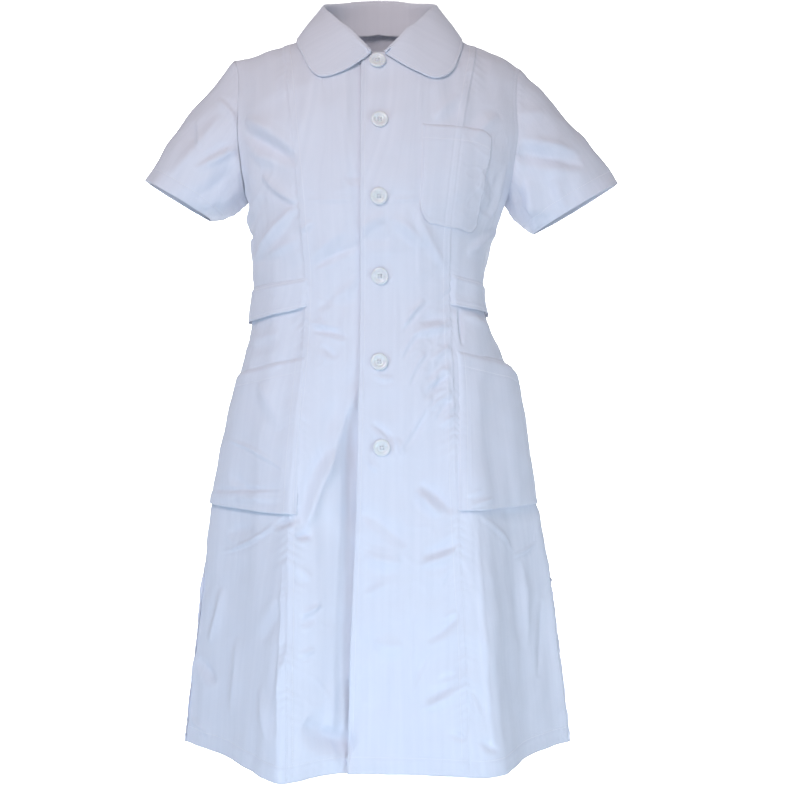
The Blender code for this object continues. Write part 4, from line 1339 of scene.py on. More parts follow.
@dataclass
class Sewing:
    """What every piece of the dress shares: its form, creases and finishes."""

    form: DressForm
    front: Creases
    back: Creases
    cloth: bpy.types.Material
    thread: bpy.types.Material
    plastic: bpy.types.Material
    ripples: tuple[Ripple | Crumple, ...] = (
        Ripple(21, 0.00045, 0.030, 0.080),
        Ripple(22, 0.00110, 0.110, 0.260),
        Ripple(23, 0.00050, 0.024, 0.060, upright=9.0),
    )
    crumples: tuple[Crumple, ...] = (
        Crumple(31, (-0.065, -0.11, -0.400), (0.040, 0.06, 0.070), 0.0013, 0.022, 0.050),
        Crumple(32, (0.075, -0.11, -0.430), (0.035, 0.06, 0.090), 0.0010, 0.022, 0.050),
        Crumple(33, (0.000, -0.12, -0.300), (0.080, 0.06, 0.050), 0.0009, 0.030, 0.070),
        Crumple(34, (-0.140, -0.08, -0.190), (0.050, 0.08, 0.070), 0.0011, 0.026, 0.060),
        Crumple(35, (0.150, -0.08, -0.200), (0.040, 0.08, 0.080), 0.0009, 0.026, 0.060),
        Crumple(36, (0.060, -0.13, -0.680), (0.080, 0.06, 0.090), 0.0011, 0.034, 0.080),
        Crumple(37, (0.000, 0.11, -0.380), (0.130, 0.06, 0.080), 0.0013, 0.026, 0.060),
        Crumple(38, (-0.060, -0.14, -0.860), (0.050, 0.06, 0.080), 0.0013, 0.034, 0.080),
        Crumple(39, (-0.170, -0.06, -0.400), (0.040, 0.10, 0.060), 0.0009, 0.024, 0.050),
        Crumple(40, (0.020, 0.14, -0.720), (0.150, 0.06, 0.180), 0.0010, 0.045, 0.100),
    )

    def lift(self, base: np.ndarray, out: np.ndarray) -> np.ndarray:
        """How far the creases and ripples stand out at places on the smooth form."""
        total = sum(wave.at(base) for wave in self.ripples + self.crumples)
        return total + self.front.lift(base, out) + self.back.lift(base, out)

    def finish(
        self,
        sheet: ClothSheet,
        node: str,
        held: Held,
        rests_on: list[str],
        stitches: list[StitchLine],
    ) -> bpy.types.Object:
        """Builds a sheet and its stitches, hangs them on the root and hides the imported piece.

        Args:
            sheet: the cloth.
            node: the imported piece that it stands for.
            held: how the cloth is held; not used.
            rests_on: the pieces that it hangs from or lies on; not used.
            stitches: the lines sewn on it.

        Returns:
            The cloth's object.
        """
        cloth = sheet.build()
        cloth.data.materials.append(self.cloth)
        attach(cloth, "root")
        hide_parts(node)
        if stitches:
            self.sew(f"{node}_stitches", stitches)
        return cloth

    def sew(self, name: str, stitches: list[StitchLine]) -> bpy.types.Object:
        """Makes one object of several lines of stitches."""
        thread = bmesh.new()
        for line in stitches:
            line.sew(thread)
        made = self.thread_piece(thread, name)
        log.info("%s: %d lines", name, len(stitches))
        return made

    def thread_piece(self, shape: bmesh.types.BMesh, name: str) -> bpy.types.Object:
        """Makes a piece of sewing thread that rides on the dress."""
        mesh = mesh_of(shape, name)
        mesh.shade_smooth()
        mesh.materials.append(self.thread)
        made = add_object(name, mesh)
        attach(made, "root")
        return made


@dataclass
class Panel:
    """A panel of the dress between two edges, from the hem to its shoulder seam."""

    name: str
    sewing: Sewing
    first: Callable
    last: Callable
    first_seam: Seam
    last_seam: Seam
    rests_on: list[str]
    at_front: bool = True
    sunk: bool = False
    spacing: float = 0.0026
    row_spacing: float = 0.0026
    hem_turned: float = 0.020
    hem_stitch: float = 0.021
    fold_back: float = 0.004
    passes: int = 12
    bodice_length: float = 0.24
    measured_at: float = 0.4
    back_curve: float = 1.35
    edge_spacing: float = 0.0010
    edge_margin: float = 0.009
    armhole_blend: float = 0.02
    shoulder_from: float = 1.5
    shoulder_blend: float = 0.3
    roping: float = 0.00022
    roping_wander: float = 0.011
    hem_raised: float = 0.00035
    hem_step: float = 0.0012
    hem_depth: float = 1.5

    def places(self) -> tuple[np.ndarray, np.ndarray]:
        """Turns and rises of the grid."""
        form = self.sewing.form
        skirt = np.linspace(0, 1, round((form.underarm - form.hem) / self.row_spacing))
        bodice = np.linspace(0, 1, round(self.bodice_length / self.row_spacing))[1:]
        middle = np.array([self.measured_at])
        ends = [form.points(edge(middle), middle) for edge in (self.first, self.last)]
        span = float(np.linalg.norm(ends[1] - ends[0])) * (1.0 if self.at_front else self.back_curve)
        share = edge_shares(span, self.spacing, self.edge_spacing, self.edge_margin)
        stop = np.ones(len(share))
        for _ in range(self.passes):
            rise = 1 + stop
            turn = self.first(rise) + (self.last(rise) - self.first(rise)) * share
            x = form.points(turn, np.minimum(rise, 2))[..., 0]
            stop = form.neck_stop(x, rise, self.at_front)
        rises = np.concatenate([np.outer(skirt, np.ones(len(share))), 1 + np.outer(bodice, stop)])
        turns = self.first(rises) + (self.last(rises) - self.first(rises)) * share
        return turns, rises

    def edge_relief(self, base: np.ndarray, rises: np.ndarray) -> np.ndarray:
        """The relief of the seams, the hem and the shoulder edge."""
        across = lengths_along(base, 1)
        up = lengths_along(base, 0)
        total = np.zeros(base.shape[:-1])
        sides = (
            (self.first_seam, across, up[:, :1]),
            (self.last_seam, across[:, -1:] - across, up[:, -1:]),
        )
        for seam, away, along in sides:
            if seam is Seam.FREE:
                continue
            if seam is Seam.SIDE:
                above = smooth_step((rises - 1) / self.armhole_blend)
                total += SIDE_SHAPE.relief(away, along) * (1 - above)
                total += ARMHOLE_SHAPE.relief(away, along) * above
            else:
                total += SEAM_SHAPES[seam].relief(away, along)
        hem = bell(up - self.hem_stitch, HEM_TRENCH_WIDTH) * HEM_TRENCH
        wander = 2 * np.sin(across / self.roping_wander)
        roping = np.sin((across + ROPING_SLANT * up) * FULL_TURN / ROPING_LENGTH + wander)
        inside_hem = smooth_step((self.hem_stitch - up) / ROPING_FADE) * smooth_step(up / ROPING_FADE)
        raised = self.hem_raised * smooth_step((self.hem_stitch - up) / self.hem_step)
        total += self.roping * roping * inside_hem + raised - self.hem_depth * hem
        shoulder = smooth_step((rises - self.shoulder_from) / self.shoulder_blend)
        total += SHOULDER_SHAPE.relief(up[-1:] - up, across) * shoulder
        return total

    def build(self) -> bpy.types.Object:
        """Makes the panel, its turned-up hem and its stitches."""
        form = self.sewing.form
        turns, rises = self.places()
        base = form.points(turns, rises, self.sunk)
        out = form.normals(turns, rises, self.sunk)
        lift = self.sewing.lift(base, out) + self.edge_relief(base, rises)
        points = base + out * lift[..., None]
        final_out = grid_normals(points)
        up = lengths_along(base, 0)
        lines = self.stitch_lines(points, final_out)
        outward = final_out
        if self.first_seam is Seam.LAP:
            points, outward = self.fold_edge(points, outward)
        turned = int(np.searchsorted(up[:, 0], self.hem_turned))
        inside = (points - outward * FOLD_OFF)[turned::-1]
        cloth = ClothSheet(f"cloth_{self.name}", np.concatenate([inside, points]))
        return self.sewing.finish(cloth, self.name, Held.HUNG, self.rests_on, lines)

    def fold_edge(self, points: np.ndarray, out: np.ndarray) -> tuple[np.ndarray, np.ndarray]:
        """Folds the lap's edge back under itself.

        Args:
            points: the panel's grid.
            out: its outward directions.

        Returns:
            The grid with the folded columns before it, and their directions.
        """
        walked = lengths_along(points, 1)
        count = int(np.searchsorted(walked[len(walked) // 2], self.fold_back))
        under = (points - out * FOLD_OFF)[:, count::-1]
        return (
            np.concatenate([under, points], axis=1),
            np.concatenate([out[:, count::-1], out], axis=1),
        )

    def stitch_lines(self, points: np.ndarray, out: np.ndarray) -> list[StitchLine]:
        """The lines of stitches along the seams and the hem."""
        found = []
        low = int(np.searchsorted(lengths_along(points, 0)[:, 0], self.hem_stitch))
        for seam, from_end in ((self.first_seam, False), (self.last_seam, True)):
            if seam in (Seam.FREE, Seam.SIDE, Seam.PRINCESS):
                continue
            away = SEAM_SHAPES[seam].trench_at
            line = line_across(points, away, from_end)[low:]
            normals = line_across(out, 0, from_end)[low:]
            found.append(StitchLine(line, normals))
        hem = line_up(points, self.hem_stitch)
        found.append(StitchLine(hem, out[low]))
        return found


@dataclass(frozen=True)
class Cuff:
    """A cuff seen from the front: its ends and its half depth."""

    side: int
    outer_x: float
    outer_z: float
    lower_x: float
    lower_z: float
    half_depth: float


class Trough(NamedTuple):
    """A soft trough of a sleeve: its place round and along the sleeve, and its size."""

    around: float
    spread: float
    along: float
    length: float
    depth: float


@dataclass
class Sleeve:
    """A short set-in sleeve, from the armhole's ring to its oval cuff."""

    name: str
    sewing: Sewing
    cuff: Cuff
    troughs: tuple[Trough, ...]
    creases: tuple[Crease, ...]
    steps_up: int = 62
    rows: int = 76
    fullness: float = 0.006
    gap: float = 0.0002
    head: float = 0.0009
    head_at: float = 0.006
    head_fade: float = 0.25
    cuff_fade_from: float = 1.15
    cuff_fade: float = 0.30
    crease_start: float = 0.010
    pucker: float = 1.4
    roping: float = 0.0002
    row_length: float = 0.0022
    hem_turned: float = 0.022
    hem_stitch: float = 0.020

    def ring(self) -> tuple[np.ndarray, np.ndarray]:
        """Points and outward directions round the armhole, from the underarm over the front."""
        form, side = self.sewing.form, self.cuff.side
        up = 1 + np.linspace(0, 1, self.steps_up)
        down = up[-2::-1]
        turns = np.concatenate(
            [form.side_turn(side)(up), form.side_turn(side, behind=True)(down)]
        )
        turns[-1] = turns[0]
        rises = np.concatenate([up, down])
        return form.points(turns, rises), form.normals(turns, rises)

    def around(self, ring: np.ndarray) -> np.ndarray:
        """Each point's share of the way round: 0 at the underarm and 0.5 at the top."""
        steps = np.linalg.norm(np.diff(ring, axis=0), axis=1)
        walked = np.concatenate([[0], np.cumsum(steps)])
        top = self.steps_up - 1
        front = 0.5 * walked / walked[top]
        behind = 0.5 + 0.5 * (walked - walked[top]) / (walked[-1] - walked[top])
        return np.where(np.arange(len(ring)) <= top, front, behind)

    def smooth_points(self, ring: np.ndarray, around: np.ndarray, along: np.ndarray) -> np.ndarray:
        """The sleeve without its fullness, troughs and creases."""
        cuff = self.cuff
        angle = FULL_TURN * around
        outer_end = np.array([cuff.outer_x, 0, cuff.outer_z])
        lower_end = np.array([cuff.lower_x, 0, cuff.lower_z])
        middle, half = (outer_end + lower_end) / 2, (lower_end - outer_end) / 2
        depth = np.array([0, -cuff.half_depth, 0])
        end = middle + np.cos(angle)[..., None] * half + np.sin(angle)[..., None] * depth
        return ring * (1 - along[..., None]) + end * along[..., None]

    def place(self, around: np.ndarray, along: np.ndarray) -> np.ndarray:
        """Places on the smooth sleeve, from shares round and along it."""
        ring, _ = self.ring()
        shares = self.around(ring)
        around = np.mod(np.asarray(around, float), 1)
        on_ring = np.stack([np.interp(around, shares, ring[:, k]) for k in range(3)], -1)
        return self.smooth_points(on_ring, around, np.asarray(along, float))

    def build(self) -> bpy.types.Object:
        """Makes the sleeve, its turned-up hem and its stitches."""
        ring, ring_normals = self.ring()
        around = self.around(ring)
        along = np.linspace(0, 1, self.rows)[:, None]
        points = self.smooth_points(ring[None], around[None], along)
        order = slice(None, None, -self.cuff.side)
        points, shares = points[:, order], around[order]
        out = grid_normals(points, ring=True)
        push = self.fullness * np.sin(math.pi * along) * np.ones(len(ring))
        for trough in self.troughs:
            across = bell(shares - trough.around, trough.spread)
            down = bell(along - trough.along, trough.length)
            push = push + trough.depth * across * down * smooth_step(along / self.head_fade)
        push = push * smooth_step((self.cuff_fade_from - along) / self.cuff_fade)
        base = points + out * push[..., None]
        out = grid_normals(base, ring=True)
        out[0] = unit(out[0] + ring_normals[order])
        base[0] = base[0] + self.gap * unit(base[1] - base[0])
        walked = lengths_along(base, 0)
        length = walked[-1:]
        creases = Creases(self.place, self.creases)
        lift = creases.lift(base, out) * smooth_step(walked / self.crease_start + self.head_fade)
        lift += sum(ripple.at(base) for ripple in self.sewing.ripples)
        seam_along = lengths_along(base, 1)[:1]
        lift += ARMHOLE_SHAPE.puckers(walked, seam_along) * self.pucker
        head = self.head * bell(walked - self.head_at, self.head_at)
        lift += head * (0.5 - 0.5 * np.cos(FULL_TURN * shares))
        lift -= ARMHOLE_SHAPE.groove * bell(walked, ARMHOLE_SHAPE.groove_width)
        from_hem = length - walked
        lift -= HEM_TRENCH * bell(from_hem - self.hem_stitch, HEM_TRENCH_WIDTH)
        roping = np.sin((seam_along + ROPING_SLANT * from_hem) * FULL_TURN / ROPING_LENGTH)
        lift += self.roping * roping * smooth_step((self.hem_stitch - from_hem) / ROPING_FADE)
        under = np.minimum(shares, 1 - shares) * seam_along[0, -1]
        lift += SIDE_SHAPE.relief(under[None], walked)
        points = base + out * lift[..., None]
        points[:, -1] = points[:, 0]
        final_out = grid_normals(points, ring=True)
        lines = self.stitch_lines(points, final_out)
        turned = int(np.searchsorted(from_hem[::-1, 0], self.hem_turned))
        inner = points - final_out * FOLD_OFF
        sheet = np.concatenate([points, inner[-1:], inner[-2 : -turned - 2 : -1]])
        cloth = ClothSheet(f"cloth_{self.name}", sheet, ring=True)
        side = "left" if self.cuff.side > 0 else "right"
        rests_on = [f"cloth_side_front_{side}", "cloth_back"]
        return self.sewing.finish(cloth, self.name, Held.HUNG, rests_on, lines)

    def stitch_lines(self, points: np.ndarray, out: np.ndarray) -> list[StitchLine]:
        """The line of stitches along the cuff's hem."""
        line = line_up(points, self.hem_stitch, from_top=True)
        row = len(points) - 1 - int(self.hem_stitch / self.row_length)
        return [StitchLine(line, out[row])]


class Line(NamedTuple):
    """One line across a piece that lies on the dress, from its lower to its upper end."""

    along: float
    turn_low: float
    low: float
    turn_high: float
    high: float
    off_low: float
    off_high: float


class Border(Enum):
    """One border of a piece that lies on the dress."""

    START = "start"
    END = "end"
    BOTTOM = "bottom"
    TOP = "top"


@dataclass
class Patch:
    """A piece that lies on the dress, made from the dress's own points moved out."""

    name: str
    sewing: Sewing
    lines: tuple[Line, ...]
    columns: int
    rows: int
    thickness: float
    rests_on: list[str]
    rolled: tuple[Border, ...]
    stitched: tuple[Border, ...]
    stitch_in: tuple[float, ...] = (0.0018,)
    hem: float = 0.0
    sunk: bool = False
    layer_gap: float = 0.0007
    roll: float = 0.0045
    seam_off: float = -0.0001
    pucker: float = 0.25
    wall: float = 0.0008
    trench: float = 0.00040
    trench_width: float = 0.0009
    ridge: float = 0.00045
    ridge_away: float = 0.0021
    ridge_width: float = 0.0013
    seam_trench: float = 0.00035
    seam_width: float = 0.0010
    hem_row: int = -8
    behind: float = 1.0

    def build(self) -> bpy.types.Object:
        """Makes the piece and its stitches."""
        form = self.sewing.form
        share = np.linspace(0, 1, self.columns)
        turn_low, low, turn_high, high, off_low, off_high = read_table(self.lines, share)
        up = np.linspace(0, 1, self.rows)[:, None]
        turn = turn_low + (turn_high - turn_low) * up
        rise = form.rise_at(turn, low + (high - low) * up)
        base = form.points(turn, rise, self.sunk)
        out = form.normals(turn, rise, self.sunk)
        off = self.layer_gap + off_low + (off_high - off_low) * up + self.thickness
        away = self.distances(base)
        edge = np.minimum.reduce([away[border] for border in self.rolled])
        down = off - (self.thickness + self.layer_gap - self.seam_off) * (
            1 - smooth_step(edge / self.roll)
        )
        total = down + self.sewing.lift(base, out)
        for border in self.stitched:
            for inset in self.stitch_in:
                total = total - self.trench * bell(away[border] - inset, self.trench_width)
                beyond = away[border] - inset - self.ridge_away
                total = total + self.ridge * bell(beyond, self.ridge_width)
        seam, height = self.from_seam(base)
        total = total + PRINCESS_SHAPE.puckers(edge, height) * self.pucker
        for line in (0.0, -TOPSTITCHED_SHAPE.trench_at):
            total = total - self.seam_trench * bell(seam - line, self.seam_width)
        total = total + PRINCESS_SHAPE.puckers(np.abs(seam), height) * self.pucker
        if self.hem:
            total = total - HEM_TRENCH * bell(away[Border.TOP] - self.hem, HEM_TRENCH_WIDTH)
        points = base + out * total[..., None]
        cloth = ClothSheet(f"cloth_{self.name}", points, wall=self.wall)
        lines = self.stitch_lines(points)
        return self.sewing.finish(cloth, self.name, Held.LAID, self.rests_on, lines)

    def distances(self, base: np.ndarray) -> dict[Border, np.ndarray]:
        """Each place's distance from each border."""
        across, along = lengths_along(base, 1), lengths_along(base, 0)
        return {
            Border.START: across,
            Border.END: across[:, -1:] - across,
            Border.BOTTOM: along,
            Border.TOP: along[-1:] - along,
        }

    def from_seam(self, base: np.ndarray) -> tuple[np.ndarray, np.ndarray]:
        """Each place's distance outwards from the princess seam, and its height up it."""
        form = self.sewing.form
        right, left = read_table(form.princess, base[..., 2])
        x = base[..., 0]
        away = np.where(x < 0, -x - right, x - left)
        away = np.where(base[..., 1] < 0, away, self.behind)
        return away, base[..., 2] - form.hem

    def stitch_lines(self, points: np.ndarray) -> list[StitchLine]:
        """The lines sewn along the borders and across the hem."""
        out = grid_normals(points)
        found = []
        for border in self.stitched:
            last = border in (Border.END, Border.TOP)
            upright = border in (Border.START, Border.END)
            for inset in self.stitch_in:
                line = (line_across if upright else line_up)(points, inset, last)
                edge = -2 if last else 1
                found.append(StitchLine(line, out[:, edge] if upright else out[edge]))
        if self.hem:
            found.append(StitchLine(line_up(points, self.hem, from_top=True), out[self.hem_row]))
        return found


class Fall(NamedTuple):
    """The collar in one direction: where its roll lies and how far its edge is from it."""

    turn: float
    roll_reach: float
    roll_height: float
    fall: float


@dataclass
class Collar:
    """The folded collar: a stand in the neck, a roll, and a fall on the shoulders."""

    name: str
    sewing: Sewing
    falls: tuple[Fall, ...]
    columns: int = 240
    rows: int = 76
    cloth: float = 0.0020
    closer: float = 0.60
    farthest: float = 0.16
    roll: float = 0.0030
    bulge: float = 0.0012
    off: float = 0.0020
    base_gap: float = 0.0010
    stitch_in: float = 0.0055
    peak: float = 0.016
    peak_width: float = 0.034
    edge_passes: int = 40
    bulge_fade: float = 0.02
    fall_shares: tuple[float, ...] = (0.25, 0.5, 0.75)
    calm: float = 0.35
    trench: float = 0.0004
    trench_width: float = 0.0008
    edge_round: float = 0.0009
    edge_reach: float = 0.0016
    wall: float = 0.0018
    edge_row: int = 3

    def reach_of_edge(
        self, turn: np.ndarray, reach: np.ndarray, height: np.ndarray, fall: np.ndarray
    ) -> np.ndarray:
        """How far out the edge meets the bodice, given the fall's length from its roll.

        Args:
            turn: directions round the neck.
            reach: the roll's distance from the neck's axis.
            height: the roll's height.
            fall: the length from the roll to the edge.

        Returns:
            The edge's distance from the neck's axis.
        """
        form = self.sewing.form
        flat = np.stack([np.sin(np.radians(turn)), -np.cos(np.radians(turn))], -1)
        roll = np.concatenate([flat * reach[:, None], height[:, None]], axis=1)
        near, far = reach, np.full_like(reach, self.farthest)
        for _ in range(self.edge_passes):
            middle = (near + far) / 2
            length = np.linalg.norm(form.bodice_over(middle, turn) - roll, axis=-1)
            near = np.where(length < fall, middle, near)
            far = np.where(length < fall, far, middle)
        return middle

    def guide_rows(self) -> np.ndarray:
        """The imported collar's rows, from the free edge over the roll to the base."""
        form = self.sewing.form
        first, last = self.falls[0].turn, self.falls[-1].turn
        even = np.linspace(0, 1, self.columns)
        turn = first + (last - first) * (
            even - self.closer * np.sin(FULL_TURN * even) / FULL_TURN
        )
        reach, height, fall = read_table(self.falls, turn)
        edge_reach = self.reach_of_edge(turn, reach, height, fall)
        outward = np.stack(
            [np.sin(np.radians(turn)), -np.cos(np.radians(turn)), np.zeros_like(turn)], -1
        )
        upward = np.array([0.0, 0.0, 1.0])
        base = form.neck_point(turn) - self.cloth / 2 * outward + self.base_gap * upward
        peak = bell(base[:, 0], self.peak_width) * smooth_step(base[:, 1] / self.peak_width)
        base = base - peak[:, None] * (self.peak * upward + self.cloth * outward)
        edge = form.bodice_over(edge_reach, turn)
        under = np.stack([edge, form.bodice_over(edge_reach - self.roll, turn)])
        edge = edge + (self.cloth + self.off) * grid_normals(under)[0]
        roll = reach[:, None] * outward + height[:, None] * upward
        roll_in = roll - self.roll * (outward + upward)
        roll_out = roll + self.roll * (outward - upward)
        bulge = self.bulge * smooth_step((edge_reach - reach) / self.bulge_fade)[:, None]
        lift = (outward + upward) / math.sqrt(2)
        rows = [edge]
        for share in self.fall_shares:
            swell = bulge * math.sin(math.pi * share) * lift
            rows.append(edge + (roll_out - edge) * share + swell)
        rows += [roll_out, roll, roll_in, (roll_in + base) / 2, base]
        return np.stack(rows)

    def smooth_rows(self, guides: np.ndarray) -> np.ndarray:
        """Even rows on smooth curves through the guide rows."""
        walked = np.concatenate(
            [[0], np.cumsum(np.linalg.norm(np.diff(guides, axis=0), axis=-1).mean(axis=1))]
        )
        even = np.linspace(0, walked[-1], self.rows)
        low = np.clip(np.searchsorted(walked, even) - 1, 0, len(walked) - 2)
        step = walked[low + 1] - walked[low]
        t = ((even - walked[low]) / step)[:, None, None]
        slope = np.gradient(guides, walked, axis=0)
        return curve_between(guides, slope, low, step[:, None, None], t)

    def build(self) -> bpy.types.Object:
        """Makes the collar and its edge stitches."""
        base = self.smooth_rows(self.guide_rows())
        out = grid_normals(base)
        across, up = lengths_along(base, 1), lengths_along(base, 0)
        edge = np.minimum.reduce([across, across[:, -1:] - across, up])
        lift = sum(ripple.at(base) for ripple in self.sewing.ripples) * self.calm
        lift = lift - self.trench * bell(edge - self.stitch_in, self.trench_width)
        lift = lift - self.edge_round * (1 - smooth_step(edge / self.edge_reach))
        points = base + out * lift[..., None]
        cloth = ClothSheet(f"cloth_{self.name}", points, wall=self.wall)
        normals = grid_normals(points)
        lines = [StitchLine(line_up(points, self.stitch_in), normals[self.edge_row])]
        return self.sewing.finish(cloth, self.name, Held.FOLDED, ["cloth_back"], lines)


class ButtonRing(NamedTuple):
    """A point of the button's outline: its distance from the middle and its height."""

    radius: float
    height: float


@dataclass(frozen=True)
class ButtonPlace:
    """Where a button is sewn: its angle, height and tilt."""

    name: str
    turn: float
    height: float
    tilt: float


@dataclass
class Button:
    """A four-hole button, its thread and its place on the lap."""

    place: ButtonPlace
    sewing: Sewing
    outline: tuple[ButtonRing, ...] = (
        ButtonRing(0.0000, 0.0016),
        ButtonRing(0.0044, 0.0017),
        ButtonRing(0.0056, 0.0020),
        ButtonRing(0.0063, 0.0027),
        ButtonRing(0.0069, 0.0031),
        ButtonRing(0.0082, 0.0034),
        ButtonRing(0.0095, 0.0035),
        ButtonRing(0.0104, 0.0031),
        ButtonRing(0.0109, 0.0023),
        ButtonRing(0.0108, 0.0014),
        ButtonRing(0.0100, 0.0006),
        ButtonRing(0.0085, 0.0001),
        ButtonRing(0.0000, 0.0000),
    )
    off: float = 0.0006
    sides: int = 64
    hole_reach: float = 0.0022
    hole_radius: float = 0.00105
    thread: float = 0.00042

    def seat(self) -> Matrix:
        """The matrix that puts a button lying at the origin on the lap."""
        form = self.sewing.form
        turn = np.array(self.place.turn)
        rise = form.rise_at(turn, np.array(self.place.height))
        base, out = form.points(turn, rise), form.normals(turn, rise)
        lift = float(self.sewing.lift(base[None, None], out[None, None])[0, 0])
        normal = Vector(out.tolist())
        up = (Vector((0, 0, 1)) - normal * normal.z).normalized()
        turned = Matrix((up.cross(normal), up, normal)).transposed().to_4x4()
        where = Matrix.Translation(Vector(base.tolist()) + normal * (self.off + lift))
        return where @ turned @ Matrix.Rotation(math.radians(self.place.tilt), 4, "Z")

    def body(self) -> bpy.types.Object:
        """Turns the outline round its axis and drills the four holes."""
        spun = bmesh.new()
        chain = [spun.verts.new((ring.radius, 0, ring.height)) for ring in self.outline]
        edges = [spun.edges.new(pair) for pair in zip(chain, chain[1:])]
        bmesh.ops.spin(
            spun,
            geom=chain + edges,
            cent=(0, 0, 0),
            axis=(0, 0, 1),
            angle=FULL_TURN,
            steps=self.sides,
            use_merge=True,
        )
        bmesh.ops.remove_doubles(spun, verts=spun.verts, dist=WELD)
        bmesh.ops.recalc_face_normals(spun, faces=spun.faces)
        name = f"{self.place.name}_face"
        made = add_object(name, mesh_of(spun, name))
        self.drill(made)
        made.data.transform(self.seat())
        made.data.shade_smooth()
        made.data.set_sharp_from_angle(angle=math.radians(50))
        made.data.materials.clear()
        made.data.materials.append(self.sewing.plastic)
        return made

    def hole_places(self) -> list[Vector]:
        """The middles of the four holes on the button lying at the origin."""
        return [
            Matrix.Rotation(math.radians(45 + 90 * step), 3, "Z")
            @ Vector((self.hole_reach, 0, 0))
            for step in range(4)
        ]

    def drill(self, body: bpy.types.Object) -> None:
        """Cuts the four holes through a button."""
        tool = bmesh.new()
        for middle in self.hole_places():
            bmesh.ops.create_cone(
                tool,
                cap_ends=True,
                segments=16,
                radius1=self.hole_radius,
                radius2=self.hole_radius,
                depth=0.01,
                matrix=Matrix.Translation(middle),
            )
        cutter = add_object("drill", mesh_of(tool, "drill"))
        cut = body.modifiers.new("holes", "BOOLEAN")
        cut.operation = "DIFFERENCE"
        cut.solver = "EXACT"
        cut.object = cutter
        bpy.context.view_layer.update()
        graph = bpy.context.evaluated_depsgraph_get()
        drilled = bpy.data.meshes.new_from_object(body.evaluated_get(graph))
        body.modifiers.clear()
        body.data = drilled
        bpy.data.objects.remove(cutter)

    def stitched(self) -> bpy.types.Object:
        """The thread that crosses the button's holes."""
        thread = bmesh.new()
        holes = self.hole_places()
        for first, second in ((0, 2), (1, 3)):
            for shift in (-0.5, 0.5):
                span = holes[second] - holes[first]
                side = Vector((0, 0, 1)).cross(span).normalized() * self.thread * shift * 1.5
                middle = (holes[first] + holes[second]) / 2 + side
                turned = Vector((1, 0, 0)).rotation_difference(span).to_matrix().to_4x4()
                size = Matrix.Diagonal((span.length / 2 + self.thread, self.thread / 1.6, self.thread, 1))
                rise = Vector((0, 0, 0.0021 + 0.0002 * (first + shift)))
                bmesh.ops.create_uvsphere(
                    thread,
                    u_segments=10,
                    v_segments=8,
                    radius=1,
                    matrix=Matrix.Translation(middle + rise) @ turned @ size,
                )
        shank = Matrix.Translation((0, 0, -0.0001))
        bmesh.ops.create_cone(
            thread,
            cap_ends=True,
            segments=14,
            radius1=self.hole_reach * 1.2,
            radius2=self.hole_reach,
            depth=0.0016,
            matrix=shank,
        )
        bmesh.ops.transform(thread, matrix=self.seat(), verts=thread.verts)
        return self.sewing.thread_piece(thread, f"{self.place.name}_thread")

    def build(self) -> bpy.types.Object:
        """Makes the button and its thread and seats them."""
        body = self.body()
        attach(body, "root")
        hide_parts(self.place.name)
        self.stitched()
        log.info("%s: button and thread", self.place.name)
        return body


# Studio


class Lamp(NamedTuple):
    """A soft light: its place, size, watts and colour, the point it faces and its beam."""

    name: str
    place: tuple[float, float, float]
    size: tuple[float, float]
    power: float
    colour: tuple[float, float, float]
    towards: tuple[float, float, float] = (0, 0, -0.5)
    spread: float = 180


LOW = (0, 0, -0.85)
WHITE = (1.0, 1.0, 1.0)
LAMPS = (
    Lamp("key", (-0.7, -2.2, 0.9), (0.6, 0.6), 21.6, (1.0, 0.88, 0.88)),
    Lamp("low_fill", (0.1, -1.3, -1.25), (1.8, 0.4), 3.9, (0.48, 0.75, 1.0), (0, 0, -0.95)),
    Lamp("right_fill", (1.7, -1.6, -1.0), (0.9, 0.9), 2.35, (0.62, 0.82, 1.0), LOW, 60),
    Lamp("left_fill", (-1.7, -1.6, -1.1), (0.9, 0.9), 1.85, (0.42, 0.72, 1.0), LOW, 60),
    Lamp("back", (0.5, 2.0, 0.8), (1.6, 1.2), 2.2, (0.97, 0.98, 1.0)),
    Lamp("wall_left", (-1.3, 2.2, 1.3), (1.6, 1.6), 105, WHITE, (-1.3, 4.2, -0.7), 100),
    Lamp("wall_right", (1.3, 2.2, 1.3), (1.6, 1.6), 105, WHITE, (1.3, 4.2, -0.7), 100),
)


